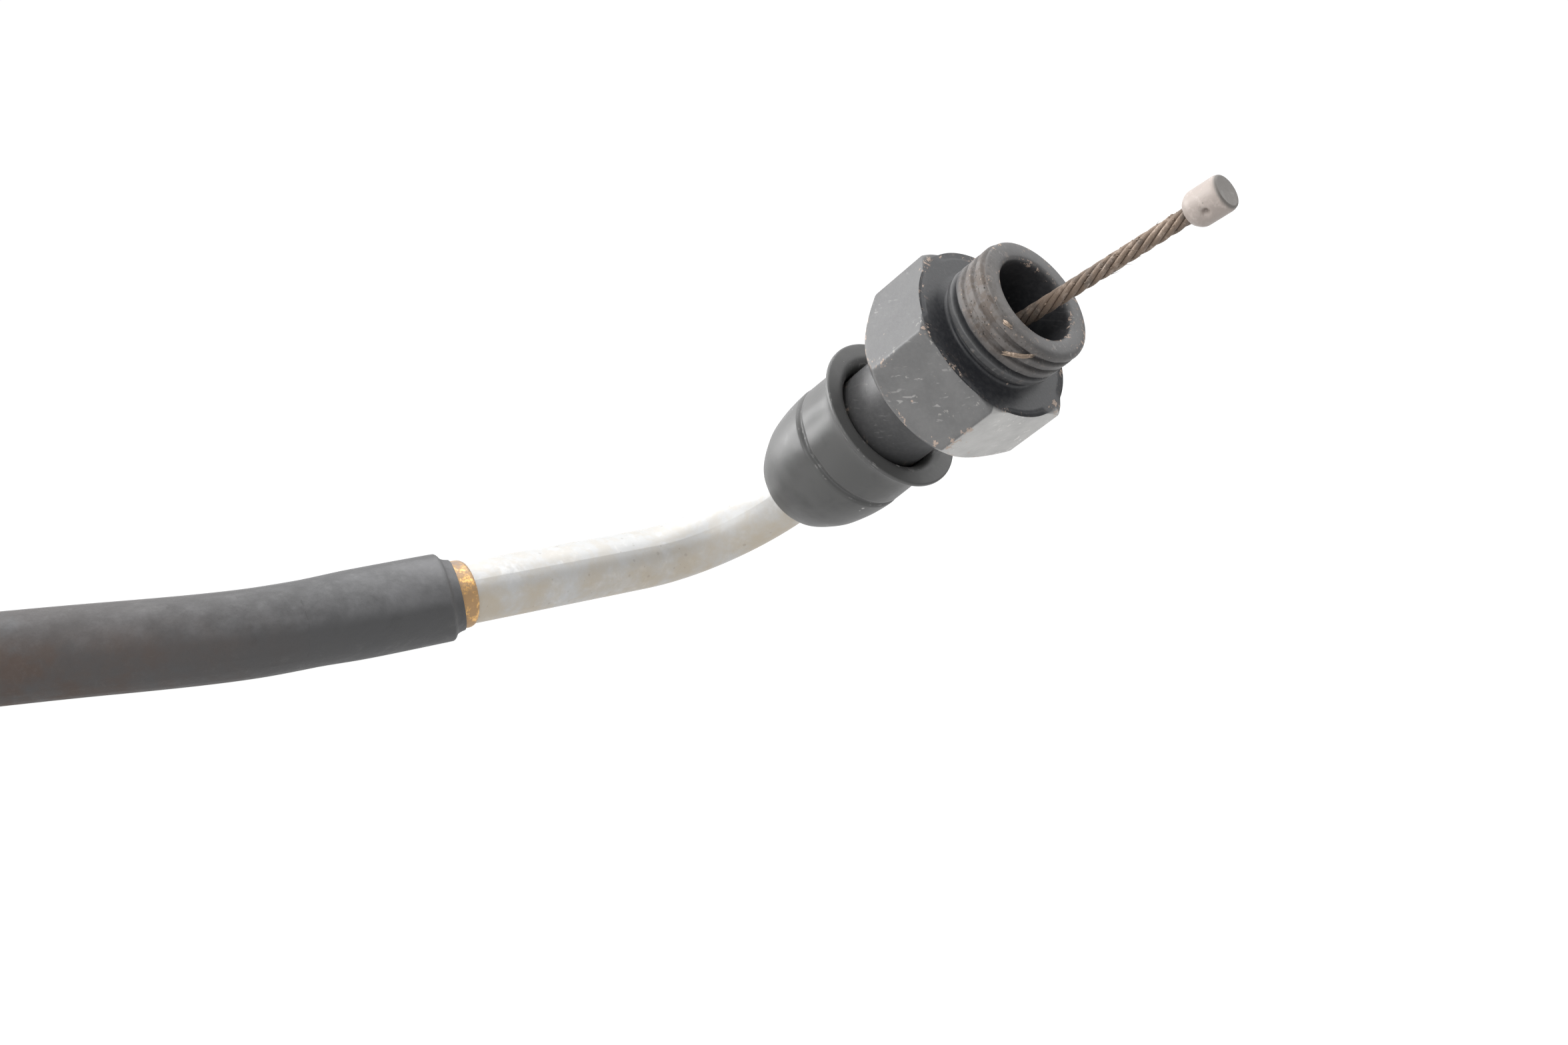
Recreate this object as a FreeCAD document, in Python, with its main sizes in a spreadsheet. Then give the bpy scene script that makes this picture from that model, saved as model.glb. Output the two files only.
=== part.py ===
"""One end of a sheathed control cable, with its unseen length coiled.

Millimetres. +Z is up from the surface that the cable lies on. The straight leg of the
guide tube runs along +X, and the tube then bends towards -Y and up to the screw nut.
"""
import FreeCAD
import Part
import Sketcher
import math
import os

Vector = FreeCAD.Vector
Rotation = FreeCAD.Rotation
Placement = FreeCAD.Placement

os.makedirs("parts", exist_ok=True)
doc = FreeCAD.newDocument("control_cable")

# Driving dimensions: alias, value in millimetres or degrees, what it is
SIZES = [
    ("base_x", 4.7, "from the origin to the start of the bend, along X"),
    ("base_y", 24.28, "from the origin to the start of the bend, along Y"),
    ("tube_od", 5.6, "guide tube, outside"),
    ("tube_id", 4.4, "guide tube, inside"),
    ("leg_length", 26.0, "guide tube, straight leg on the conduit side"),
    ("bend_radius", 12.3, "guide tube, centreline radius of the bend"),
    ("bend_angle", 84.0, "guide tube, angle of the bend"),
    ("bend_roll", 37.0, "angle of the bend's plane above the surface"),
    ("nose_length", 26.8, "guide tube, straight part beyond the bend"),
    ("collar_od", 7.6, "collar that the nut pushes on"),
    ("collar_width", 1.4, "collar, along the tube"),
    ("liner_id", 2.2, "low-friction liner, inside"),
    ("liner_gap", 0.05, "radial gap between the liner and the tube"),
    ("liner_back", 15.3, "liner's end, behind the tube's mouth"),
    ("wire_d", 1.5, "stranded inner wire"),
    ("ferrule_od", 6.1, "crimped ferrule, outside"),
    ("ferrule_front", 19.9, "ferrule's lip, behind the start of the bend"),
    ("ferrule_length", 13.1, "ferrule, whole length"),
    ("ferrule_slant", 10.0, "slant of the ferrule's lip, as photographed"),
    ("end_gap", 0.3, "gap between the tube's end and the conduit's winding"),
    ("sleeve_front_od", 7.9, "end sleeve, outside at its front"),
    ("sleeve_rear_od", 7.6, "end sleeve, outside at its rear"),
    ("sleeve_tip", 20.8, "sleeve's tip, behind the start of the bend"),
    ("sleeve_neck", 1.2, "sleeve, length of the neck at its front"),
    ("sleeve_neck_od", 6.7, "sleeve's neck, outside"),
    ("sleeve_slant", 24.0, "slant of the sleeve's front, as photographed"),
    ("slant_side", 156.0, "side on which the slanted fronts are set back"),
    ("sleeve_length", 12.8, "sleeve, whole length"),
    ("conduit_od", 7.5, "conduit jacket, outside"),
    ("jacket_id", 5.3, "conduit jacket, inside"),
    ("winding_od", 5.2, "flat-wire winding, outside"),
    ("winding_id", 3.2, "flat-wire winding, inside"),
    ("core_liner_od", 3.1, "conduit's liner, outside"),
    ("seat_gap", 0.1, "gap between the nut's shoulder and the collar"),
    ("swivel_gap", 0.06, "radial clearance of the nut on the tube"),
    ("nut_bore", 8.0, "nut, front bore"),
    ("nut_bore_depth", 7.8, "nut, from the thread's end to the shoulder"),
    ("thread_d", 12.0, "nut's thread, major diameter"),
    ("thread_root", 10.7, "nut's thread, root diameter"),
    ("thread_pitch", 1.25, "nut's thread, pitch"),
    ("thread_land", 0.3, "width of a thread's crest"),
    ("thread_relief", 0.9, "undercut between the seat face and the thread"),
    ("thread_length", 5.7, "from the seat face to the thread's end"),
    ("thread_chamfer", 0.3, "chamfer at the thread's end"),
    ("hex_flats", 16.0, "hexagon, across flats"),
    ("hex_length", 7.8, "hexagon, along the axis"),
    ("hex_turn", 25.3, "hexagon, turn about its axis as photographed"),
    ("hex_rear_d", 15.9, "hexagon's rear chamfer, diameter at the rear face"),
    ("hex_front_d", 17.6, "hexagon's front chamfer, diameter at the seat face"),
    ("spigot_d", 9.4, "nut's rear spigot"),
    ("spigot_length", 8.0, "spigot, from the hexagon's rear face"),
    ("boot_gap", 5.75, "from the hexagon's rear face to the boot's lip"),
    ("boot_length", 14.35, "boot, whole length"),
    ("boot_bore", 5.7, "boot's rear bore over the tube"),
    ("boot_tail_od", 7.4, "boot's tail, outside"),
    ("boot_tail", 0.3, "boot's tail, length"),
    ("boot_dome_radius", 10.5, "boot's dome, radius of its outline"),
    ("boot_dome_end", 8.5, "boot, from its tail to the end of the dome"),
    ("boot_dome_od", 12.84, "boot, outside at the end of the dome"),
    ("boot_groove", 0.6, "boot, moulded groove in front of the dome"),
    ("boot_band_od", 12.7, "boot, outside of the band"),
    ("boot_lip_od", 14.94, "boot's lip, outside"),
    ("boot_lip", 0.4, "boot's lip, along the axis"),
    ("boot_lip_slope", 0.9, "slope behind the lip"),
    ("boot_mouth", 10.6, "boot's mouth, inside"),
    ("boot_mouth_depth", 8.6, "boot's mouth, depth"),
    ("boot_throat", 2.0, "length of the cone from the mouth to the rear bore"),
    ("wire_droop", 5.25, "angle of the free wire below the tube's axis"),
    ("wire_side", 200.1, "side to which the free wire droops, about the axis"),
    ("wire_offset", 0.3, "free wire's way off the tube's axis at the mouth"),
    ("wire_tail", 2.4, "free wire inside the tube's mouth"),
    ("bush_length", 6.8, "guide bush in the tube's mouth, length"),
    ("bush_gap", 0.07, "radial clearance of the wire in the guide bush"),
    ("wire_reach", 22.3, "free wire from the tube's mouth to the nipple"),
    ("wire_break", 0.4, "bend wire's reach beyond its liner"),
    ("nipple_d", 3.2, "near nipple, diameter"),
    ("nipple_length", 3.6, "near nipple, length"),
    ("nipple_socket", 3.0, "near nipple, depth of the wire's socket"),
    ("nipple_edge", 0.35, "near nipple, rounding of its edges"),
    ("far_barrel_d", 8.2, "far ferrule, crimped barrel"),
    ("far_barrel", 9.0, "far ferrule, length of its barrel"),
    ("far_nose_d", 6.8, "far ferrule, nose"),
    ("far_nose", 12.0, "far ferrule, length of its nose"),
    ("far_clearance", 0.075, "radial clearance of the wire in the far ferrule"),
    ("far_tail", 14.0, "far wire inside its ferrule"),
    ("far_reach", 6.0, "far wire from its ferrule to the nipple"),
    ("far_nipple_d", 5.0, "far barrel nipple, diameter"),
    ("far_nipple_length", 5.0, "far barrel nipple, length"),
    ("far_nipple_head", 1.3, "far barrel nipple, length of the plain part at each end"),
    ("far_nipple_waist", 4.6, "far barrel nipple, diameter of its waist round the wire"),
    ("coil_radius", 47.0, "coil, centreline radius where the conduit enters"),
    ("coil_step", 8.0, "coil, distance from turn to turn and layer to layer"),
    ("coil_in", 8, "coil, quarter turns that spiral in"),
    ("coil_out", 6, "coil, quarter turns that spiral out on top"),
    ("coil_climb", 0.16, "coil, slope in the middle of the climb"),
    ("coil_lift", 0.6, "coil's underside above the surface"),
    ("strap_thickness", 0.45, "coil strap, thickness"),
    ("strap_width", 6.0, "coil strap, width"),
    ("strap_gap", 0.15, "gap between a strap and the coil, above and below"),
    ("strap_side_gap", 0.5, "gap between a strap and the coil, inside and outside"),
    ("strap_corner", 3.4, "coil strap, inside radius of its corners"),
]

# The conduit's route beyond the sleeve, from the start of the bend, chosen by hand
ROUTE = [
    (-47.0, 1.3, 3.9),
    (-61.3, 6.2, 3.95),
    (-79.0, 10.9, 4.35),
    (-95.4, 10.9, 4.35),
]
FIRST_RUN = 5.6
STRAP_ANGLES = (120.0, 215.0)
ARC_SHARE = 0.45

sheet = doc.addObject("Spreadsheet::Sheet", "Sizes")
for row, (alias, value, note) in enumerate(SIZES, start=1):
    sheet.set("A%d" % row, alias)
    sheet.set("B%d" % row, str(value))
    sheet.set("C%d" % row, note)
    sheet.setAlias("B%d" % row, alias)
doc.recompute()


class Size:
    """A length or angle that keeps its value and the expression it comes from."""

    def __init__(self, value, text):
        self.value = value
        self.text = text

    def __add__(self, other):
        other = as_size(other)
        return Size(self.value + other.value, "(%s + %s)" % (self.text, other.text))

    def __sub__(self, other):
        other = as_size(other)
        return Size(self.value - other.value, "(%s - %s)" % (self.text, other.text))

    def __mul__(self, factor):
        return Size(self.value * factor, "(%s * %r)" % (self.text, factor))

    def __truediv__(self, divisor):
        return Size(self.value / divisor, "(%s / %r)" % (self.text, divisor))


def as_size(number):
    """A plain number as a Size."""
    return number if isinstance(number, Size) else Size(float(number), repr(float(number)))


def size(alias):
    """The Size of one cell of the sheet."""
    return Size(float(sheet.get(alias)), "Sizes." + alias)


def amount(alias):
    """The plain number in one cell of the sheet."""
    return float(sheet.get(alias))


ZERO = as_size(0)

# Places along the guide tube's leg, measured back from the start of the bend
leg_height = size("sleeve_front_od") / 2
ferrule_rear = size("ferrule_front") + size("ferrule_length")
sleeve_rear = size("sleeve_tip") + size("sleeve_length")

# Places along the nut's axis, measured from the end of the bend
shoulder_at = size("nose_length") - size("collar_width") - size("seat_gap")
thread_end_at = shoulder_at + size("nut_bore_depth")
seat_at = thread_end_at - size("thread_length")
hex_rear_at = seat_at - size("hex_length")
nut_rear_at = hex_rear_at - size("spigot_length")
boot_rear_at = hex_rear_at - size("boot_gap") - size("boot_length")

# Frames: base on the surface, bend at the start of the bend, nose at its end
base = Placement(Vector(amount("base_x"), amount("base_y"), 0), Rotation())
bend_frame = base * Placement(
    Vector(0, 0, leg_height.value), Rotation(Vector(1, 0, 0), 180 - amount("bend_roll"))
)
bend_turn = math.radians(amount("bend_angle"))
nose_frame = bend_frame * Placement(
    Vector(
        amount("bend_radius") * math.sin(bend_turn),
        amount("bend_radius") * (1 - math.cos(bend_turn)),
        0,
    ),
    Rotation(Vector(0, 0, 1), amount("bend_angle")) * Rotation(Vector(0, 1, 0), 90),
)
wire_turn = Rotation(Vector(0, 0, 1), amount("wire_side")) * Rotation(
    Vector(0, 1, 0), amount("wire_droop")
)
wire_away = Rotation(Vector(0, 0, 1), amount("wire_side")) * Vector(amount("wire_offset"), 0, 0)
wire_frame = nose_frame * Placement(
    Vector(0, 0, amount("nose_length")) + wire_away, wire_turn
)


def along_leg(distance_back):
    """Frame on the leg with +Z towards the bend, this far behind the bend's start."""
    return bend_frame * Placement(
        Vector(-distance_back.value, 0, 0), Rotation(Vector(0, 1, 0), 90)
    )


def along_nose(distance):
    """Frame on the nut's axis, this far beyond the end of the bend."""
    return nose_frame * Placement(Vector(0, 0, distance.value), Rotation())


def origin_plane(body, role):
    """One of a body's own origin planes."""
    return [f for f in body.Origin.OriginFeatures if f.Role == role][0]


def new_body(label, place):
    body = doc.addObject("PartDesign::Body", label)
    body.Label = label
    body.Placement = place
    return body


def new_sketch(body, name, role):
    sketch = body.newObject("Sketcher::SketchObject", name)
    sketch.AttachmentSupport = [(origin_plane(body, role), "")]
    sketch.MapMode = "FlatFace"
    return sketch


def constrain(sketch, measured, *constraint):
    """Add a dimension to a sketch and bind it to its size."""
    index = sketch.addConstraint(Sketcher.Constraint(*constraint, measured.value))
    sketch.setExpression("Constraints[%d]" % index, measured.text)


def pin_point(sketch, edge, end, across, up):
    """Hold one end of an edge at a place measured from the sketch's origin."""
    if abs(across.value) < 1e-9:
        sketch.addConstraint(Sketcher.Constraint("PointOnObject", edge, end, -2))
    else:
        constrain(sketch, across, "DistanceX", -1, 1, edge, end)
    if abs(up.value) < 1e-9:
        sketch.addConstraint(Sketcher.Constraint("PointOnObject", edge, end, -1))
    else:
        constrain(sketch, up, "DistanceY", -1, 1, edge, end)


def crowned_arc(start, end, radius):
    """Arc between two points, bulging to the right of the way from start to end."""
    chord = end - start
    half = chord.Length / 2
    rise = radius - math.sqrt(radius * radius - half * half)
    outward = Vector(chord.y, -chord.x, 0).normalize()
    return Part.Arc(start, (start + end) / 2 + outward * rise, end)


def closed_outline(sketch, points, arcs=None):
    """Closed outline through points (across, up); arcs maps an edge's number to a radius."""
    arcs = arcs or {}
    places = [Vector(across.value, up.value, 0) for across, up in points]
    ends = []
    for number, start in enumerate(places):
        stop = places[(number + 1) % len(places)]
        if number in arcs:
            edge = sketch.addGeometry(crowned_arc(start, stop, arcs[number].value))
            forward = sketch.getPoint(edge, 1).distanceToPoint(start) < 1e-6
            ends.append((edge, 1 if forward else 2, 2 if forward else 1))
        else:
            edge = sketch.addGeometry(Part.LineSegment(start, stop))
            ends.append((edge, 1, 2))
    for number, (edge, first, last) in enumerate(ends):
        following, start_of_next, _ = ends[(number + 1) % len(ends)]
        sketch.addConstraint(
            Sketcher.Constraint("Coincident", edge, last, following, start_of_next)
        )
        pin_point(sketch, edge, first, *points[number])
    for number, radius in arcs.items():
        constrain(sketch, radius, "Radius", ends[number][0])


def turned_piece(label, place, points, arcs=None):
    """Piece turned about its own Z axis from an outline of (radius, height) points."""
    body = new_body(label, place)
    sketch = new_sketch(body, label + "_outline", "XZ_Plane")
    closed_outline(sketch, points, arcs)
    turning = body.newObject("PartDesign::Revolution", label + "_turning")
    turning.Profile = sketch
    turning.ReferenceAxis = (sketch, ["V_Axis"])
    turning.Angle = 360
    return body


def bent_piece(label, outside, inside, nose):
    """Tube or wire along the leg, the bend and the nose, up to this far along the nose."""
    body = new_body(
        label, bend_frame * Placement(Vector(-amount("leg_length"), 0, 0), Rotation())
    )
    path = new_sketch(body, label + "_path", "XY_Plane")
    leg, radius = size("leg_length"), size("bend_radius")
    centre = Vector(leg.value, radius.value, 0)
    bend_end = centre + Vector(math.sin(bend_turn), -math.cos(bend_turn), 0) * radius.value
    nose_end = bend_end + Vector(math.cos(bend_turn), math.sin(bend_turn), 0) * nose.value
    path.addGeometry(Part.LineSegment(Vector(0, 0, 0), Vector(leg.value, 0, 0)))
    path.addGeometry(
        Part.ArcOfCircle(
            Part.Circle(centre, Vector(0, 0, 1), radius.value),
            -math.pi / 2,
            -math.pi / 2 + bend_turn,
        )
    )
    path.addGeometry(Part.LineSegment(bend_end, nose_end))
    path.addConstraint(Sketcher.Constraint("Coincident", 0, 1, -1, 1))
    path.addConstraint(Sketcher.Constraint("Horizontal", 0))
    path.addConstraint(Sketcher.Constraint("Tangent", 0, 2, 1, 1))
    path.addConstraint(Sketcher.Constraint("Tangent", 1, 2, 2, 1))
    constrain(path, leg, "Distance", 0)
    constrain(path, radius, "Radius", 1)
    constrain(path, nose, "Distance", 2)
    angle = path.addConstraint(Sketcher.Constraint("Angle", -1, 1, 2, 1, bend_turn))
    path.setExpression("Constraints[%d]" % angle, "Sizes.bend_angle * 1 deg")
    section = new_sketch(body, label + "_section", "YZ_Plane")
    for diameter in (outside, inside):
        if diameter is not None:
            circle = Part.Circle(Vector(0, 0, 0), Vector(0, 0, 1), diameter.value / 2)
            edge = section.addGeometry(circle)
            section.addConstraint(Sketcher.Constraint("Coincident", edge, 3, -1, 1))
            constrain(section, diameter, "Diameter", edge)
    doc.recompute()
    pipe = body.newObject("PartDesign::AdditivePipe", label + "_pipe")
    pipe.Profile = section
    pipe.Spine = (path, ["Edge1", "Edge2", "Edge3"])
    return body


def ring_outline(outside, inside, length):
    """Outline of a plain ring that stands on the piece's own XY plane."""
    return [
        (inside / 2, ZERO),
        (outside / 2, ZERO),
        (outside / 2, length),
        (inside / 2, length),
    ]


def make_guide_tube():
    return bent_piece("guide_tube", size("tube_od"), size("tube_id"), size("nose_length"))


def make_tube_collar():
    """Collar fixed to the tube's mouth, which the nut's shoulder pushes on."""
    place = along_nose(size("nose_length") - size("collar_width"))
    outline = ring_outline(size("collar_od"), size("tube_od"), size("collar_width"))
    return turned_piece("tube_collar", place, outline)


def make_tube_liner():
    outside = size("tube_id") - size("liner_gap") * 2
    reach = size("nose_length") - size("liner_back")
    return bent_piece("tube_liner", outside, size("liner_id"), reach)


def make_bend_wire():
    reach = size("nose_length") - size("liner_back") + size("wire_break")
    return bent_piece("inner_wire_bend", size("wire_d"), None, reach)


def slant_frame(distance_back, slant_deg):
    """Frame on the leg whose XY plane is set back towards the conduit on one side."""
    side, slant = math.radians(amount("slant_side")), math.radians(slant_deg)
    away = Vector(0, math.cos(side), math.sin(side)) * math.sin(slant)
    normal = Vector(math.cos(slant), 0, 0) + away
    middle = Vector(-distance_back.value, 0, leg_height.value)
    return base * Placement(middle, Rotation(Vector(0, 0, 1), normal))


def cut_at_slant(label, piece, distance_back, slant_deg):
    """The piece without what lies beyond a slanted plane across the leg."""
    reach = amount("sleeve_length")
    block = doc.addObject("Part::Box", label + "_beyond")
    block.Length = block.Width = block.Height = 2 * reach
    block.Placement = slant_frame(distance_back, slant_deg) * Placement(
        Vector(-reach, -reach, 0), Rotation()
    )
    kept = doc.addObject("Part::Cut", label)
    kept.Base = piece
    kept.Tool = block
    return kept


def make_crimp_ferrule():
    """Ferrule that joins the tube's leg to the conduit's winding."""
    step = size("ferrule_length") - (size("leg_length") - size("ferrule_front"))
    step = step - size("end_gap") / 2
    front = size("ferrule_length") + size("sleeve_neck")
    outline = [
        (size("winding_od") / 2, ZERO),
        (size("ferrule_od") / 2, ZERO),
        (size("ferrule_od") / 2, front),
        (size("tube_od") / 2, front),
        (size("tube_od") / 2, step),
        (size("winding_od") / 2, step),
    ]
    blank = turned_piece("ferrule_blank", along_leg(ferrule_rear), outline)
    return cut_at_slant("crimp_ferrule", blank, size("ferrule_front"), amount("ferrule_slant"))


def make_end_sleeve():
    """Black sleeve over the ferrule, with a slanted front and a short neck there."""
    bore, outside = size("ferrule_od") / 2, size("sleeve_front_od") / 2
    rim_at = size("sleeve_tip") + size("sleeve_neck")
    beyond = size("sleeve_length") + size("sleeve_neck") * 2
    outline = [
        (bore, ZERO),
        (size("sleeve_rear_od") / 2, ZERO),
        (outside, size("sleeve_length") - size("sleeve_neck") * 3),
        (outside, beyond),
        (bore, beyond),
    ]
    slant = amount("sleeve_slant")
    blank = turned_piece("sleeve_blank", along_leg(sleeve_rear), outline)
    main = cut_at_slant("sleeve_main", blank, rim_at, slant)
    ring = ring_outline(size("sleeve_neck_od"), size("ferrule_od"), beyond)
    neck_blank = turned_piece("neck_blank", along_leg(sleeve_rear), ring)
    neck = cut_at_slant("sleeve_front", neck_blank, size("sleeve_tip"), slant)
    sleeve = doc.addObject("Part::MultiFuse", "end_sleeve")
    sleeve.Label = "end_sleeve"
    sleeve.Shapes = [main, neck]
    return sleeve


def nut_thread():
    """The nut's male thread: crests of equal height with a relief and a chamfer."""
    body = new_body("thread_blank", Placement(Vector(0, 0, thread_from_rear().value), Rotation()))
    crest, root = size("thread_d") / 2, size("thread_root") / 2
    length, relief = size("thread_length"), size("thread_relief")
    outline = new_sketch(body, "thread_outline", "XZ_Plane")
    closed_outline(
        outline,
        [
            (ZERO, ZERO),
            (root, ZERO),
            (root, relief),
            (crest, relief),
            (crest, length - size("thread_chamfer")),
            (crest - size("thread_chamfer"), length),
            (ZERO, length),
        ],
    )
    turning = body.newObject("PartDesign::Revolution", "thread_turning")
    turning.Profile = outline
    turning.ReferenceAxis = (outline, ["V_Axis"])
    turning.Angle = 360
    doc.recompute()
    pitch, land = size("thread_pitch"), size("thread_land")
    groove_start = relief + land * 1.6
    valley = new_sketch(body, "thread_valley", "XZ_Plane")
    closed_outline(
        valley,
        [
            (root, groove_start + pitch / 2 - land),
            (root, groove_start + pitch / 2 - land / 3),
            (crest + land, groove_start + pitch - land / 2),
            (crest + land, groove_start - land / 2),
        ],
    )
    groove = body.newObject("PartDesign::Groove", "thread_groove")
    groove.Profile = valley
    groove.ReferenceAxis = (valley, ["V_Axis"])
    groove.Angle = 360
    doc.recompute()
    room = length - size("thread_chamfer") - groove_start
    count = max(2, int(room.value // pitch.value))
    pattern = body.newObject("PartDesign::LinearPattern", "thread_rows")
    pattern.Originals = [groove]
    pattern.Direction = (origin_axis(body, "Z_Axis"), [""])
    pattern.Occurrences = count
    pattern.Length = pitch.value * (count - 1)
    pattern.setExpression("Length", "%s * %d" % (pitch.text, count - 1))
    body.Tip = pattern
    return body


def origin_axis(body, role):
    """One of a body's own origin axes."""
    return [f for f in body.Origin.OriginFeatures if f.Role == role][0]


def thread_from_rear():
    """Distance from the nut's rear end to its seat face."""
    return size("spigot_length") + size("hex_length")


def bind(item, **properties):
    """Bind an object's properties to sizes."""
    for name, measured in properties.items():
        setattr(item, name, measured.value)
        item.setExpression(name, measured.text)


def make_thread_nut():
    """Hexagonal nut with a male thread in front and a spigot behind."""
    hexagon = doc.addObject("Part::Prism", "hex_blank")
    hexagon.Polygon = 6
    bind(
        hexagon,
        Circumradius=size("hex_flats") / math.sqrt(3),
        Height=size("hex_length"),
    )
    hexagon.Placement = Placement(
        Vector(0, 0, amount("spigot_length")), Rotation(Vector(0, 0, 1), amount("hex_turn"))
    )
    spread = size("hex_length") * math.sqrt(3)
    rear_cone = doc.addObject("Part::Cone", "hex_rear_cone")
    bind(
        rear_cone,
        Radius1=size("hex_rear_d") / 2,
        Radius2=size("hex_rear_d") / 2 + size("hex_length"),
        Height=size("hex_length"),
    )
    front_cone = doc.addObject("Part::Cone", "hex_front_cone")
    bind(
        front_cone,
        Radius1=size("hex_front_d") / 2 + spread,
        Radius2=size("hex_front_d") / 2,
        Height=size("hex_length"),
    )
    for cone in (rear_cone, front_cone):
        cone.Placement = Placement(Vector(0, 0, amount("spigot_length")), Rotation())
    chamfered = doc.addObject("Part::MultiCommon", "hex_chamfered")
    chamfered.Shapes = [hexagon, rear_cone, front_cone]
    spigot = doc.addObject("Part::Cylinder", "spigot_blank")
    bind(
        spigot,
        Radius=size("spigot_d") / 2,
        Height=size("spigot_length") + size("hex_length") / 2,
    )
    blank = doc.addObject("Part::MultiFuse", "nut_blank")
    blank.Shapes = [spigot, chamfered, nut_thread()]
    guide_bore = doc.addObject("Part::Cylinder", "guide_bore")
    bind(
        guide_bore,
        Radius=size("tube_od") / 2 + size("swivel_gap"),
        Height=thread_from_rear() + size("thread_length"),
    )
    front_bore = doc.addObject("Part::Cylinder", "front_bore")
    bind(front_bore, Radius=size("nut_bore") / 2, Height=size("nut_bore_depth"))
    front_bore.Placement = Placement(
        Vector(0, 0, (shoulder_at - nut_rear_at).value), Rotation()
    )
    bores = doc.addObject("Part::MultiFuse", "nut_bores")
    bores.Shapes = [guide_bore, front_bore]
    nut = doc.addObject("Part::Cut", "thread_nut")
    nut.Base = blank
    nut.Tool = bores
    nut.Label = "thread_nut"
    nut.Placement = along_nose(nut_rear_at)
    return nut


def make_rubber_boot():
    """Bell-shaped boot that slides on the tube, open towards the nut."""
    length, lip = size("boot_length"), size("boot_lip")
    bore, mouth = size("boot_bore") / 2, size("boot_mouth") / 2
    band, tail = size("boot_band_od") / 2, size("boot_tail_od") / 2
    dome_end, groove = size("boot_dome_end"), size("boot_groove")
    mouth_end = length - size("boot_mouth_depth")
    lip_rear = length - lip
    outline = [
        (bore, ZERO),
        (tail, ZERO),
        (tail, size("boot_tail")),
        (size("boot_dome_od") / 2, dome_end),
        (band - groove / 2, dome_end + groove / 2),
        (band, dome_end + groove),
        (band, lip_rear - size("boot_lip_slope")),
        (size("boot_lip_od") / 2, lip_rear),
        (size("boot_lip_od") / 2, length),
        (mouth, length),
        (mouth, mouth_end),
        (bore, mouth_end - size("boot_throat")),
    ]
    arcs = {2: size("boot_dome_radius")}
    return turned_piece("rubber_boot", along_nose(boot_rear_at), outline, arcs)


def make_mouth_bush():
    """Bush in the tube's mouth, bored along the line on which the free wire leaves."""
    blank = doc.addObject("Part::Cylinder", "bush_blank")
    bind(
        blank,
        Radius=size("tube_id") / 2 - size("liner_gap"),
        Height=size("bush_length"),
    )
    drill = doc.addObject("Part::Cylinder", "bush_drill")
    bind(
        drill,
        Radius=size("wire_d") / 2 + size("bush_gap"),
        Height=size("bush_length") * 3,
    )
    mouth = Placement(Vector(0, 0, amount("bush_length")) + wire_away, wire_turn)
    drill.Placement = mouth * Placement(Vector(0, 0, -2 * amount("bush_length")), Rotation())
    bush = doc.addObject("Part::Cut", "mouth_bush")
    bush.Label = "mouth_bush"
    bush.Base = blank
    bush.Tool = drill
    bush.Placement = along_nose(size("nose_length") - size("bush_length"))
    return bush


def make_near_wire():
    """Free end of the inner wire, from the tube's mouth into its nipple."""
    wire = doc.addObject("Part::Cylinder", "near_wire")
    wire.Label = "near_wire"
    bind(
        wire,
        Radius=size("wire_d") / 2,
        Height=size("wire_tail") + size("wire_reach") + size("nipple_socket"),
    )
    wire.Placement = wire_frame * Placement(Vector(0, 0, -amount("wire_tail")), Rotation())
    return wire


def make_near_nipple():
    """Cast nipple with rounded edges and a blind socket for the wire."""
    radius, length, edge = size("nipple_d") / 2, size("nipple_length"), size("nipple_edge")
    socket, wire = size("nipple_socket"), size("wire_d") / 2
    outline = [
        (wire, ZERO),
        (radius - edge, ZERO),
        (radius, edge),
        (radius, length - edge),
        (radius - edge, length),
        (ZERO, length),
        (ZERO, socket),
        (wire, socket),
    ]
    place = wire_frame * Placement(Vector(0, 0, amount("wire_reach")), Rotation())
    return turned_piece("near_nipple", place, outline)


def corner_arc(start, corner, end):
    """Arc from start to end, tangent to the two lines that meet in the corner."""
    middle = (start + end) / 2
    half_chord = (end - start).Length / 2
    height = (corner - middle).Length
    half_turn = math.atan2(height, half_chord)
    rise = half_chord * math.tan(half_turn / 2)
    return Part.Arc(start, middle + (corner - middle) * (rise / height), end)


def route_edges(points):
    """Straight runs joined by arcs as large as their runs allow; prints the radii."""
    edges, radii, start = [], [], points[0]
    for before, corner, after in zip(points, points[1:], points[2:]):
        run_in, run_out = corner - before, after - corner
        reach = ARC_SHARE * min(run_in.Length, run_out.Length)
        arc_start = corner - run_in.normalize() * reach
        arc_end = corner + run_out.normalize() * reach
        arc = corner_arc(arc_start, corner, arc_end)
        edges.append(Part.LineSegment(start, arc_start).toShape())
        edges.append(arc.toShape())
        radii.append(round(edges[-1].Curve.Radius, 1))
        start = arc_end
    edges.append(Part.LineSegment(start, points[-1]).toShape())
    print("conduit bend radii", radii)
    return edges


def swept_solid(edges, diameter):
    """Solid round bar along tangent edges."""
    path = Part.Wire(edges)
    first = edges[0]
    start = first.valueAt(first.FirstParameter)
    way = first.tangentAt(first.FirstParameter)
    ring = Part.Wire([Part.Circle(start, way, diameter / 2).toShape()])
    bar = path.makePipeShell([ring], True, False)
    expected = math.pi * diameter * diameter / 4 * path.Length
    print("length %.2f volume ratio %.5f" % (path.Length, bar.Volume / expected))
    return bar


def solid_feature(label, shape):
    """Sub-part whose shape is worked out here, placed on the surface."""
    item = doc.addObject("Part::Feature", label)
    item.Label = label
    item.Shape = shape
    item.Placement = base
    return item


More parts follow.
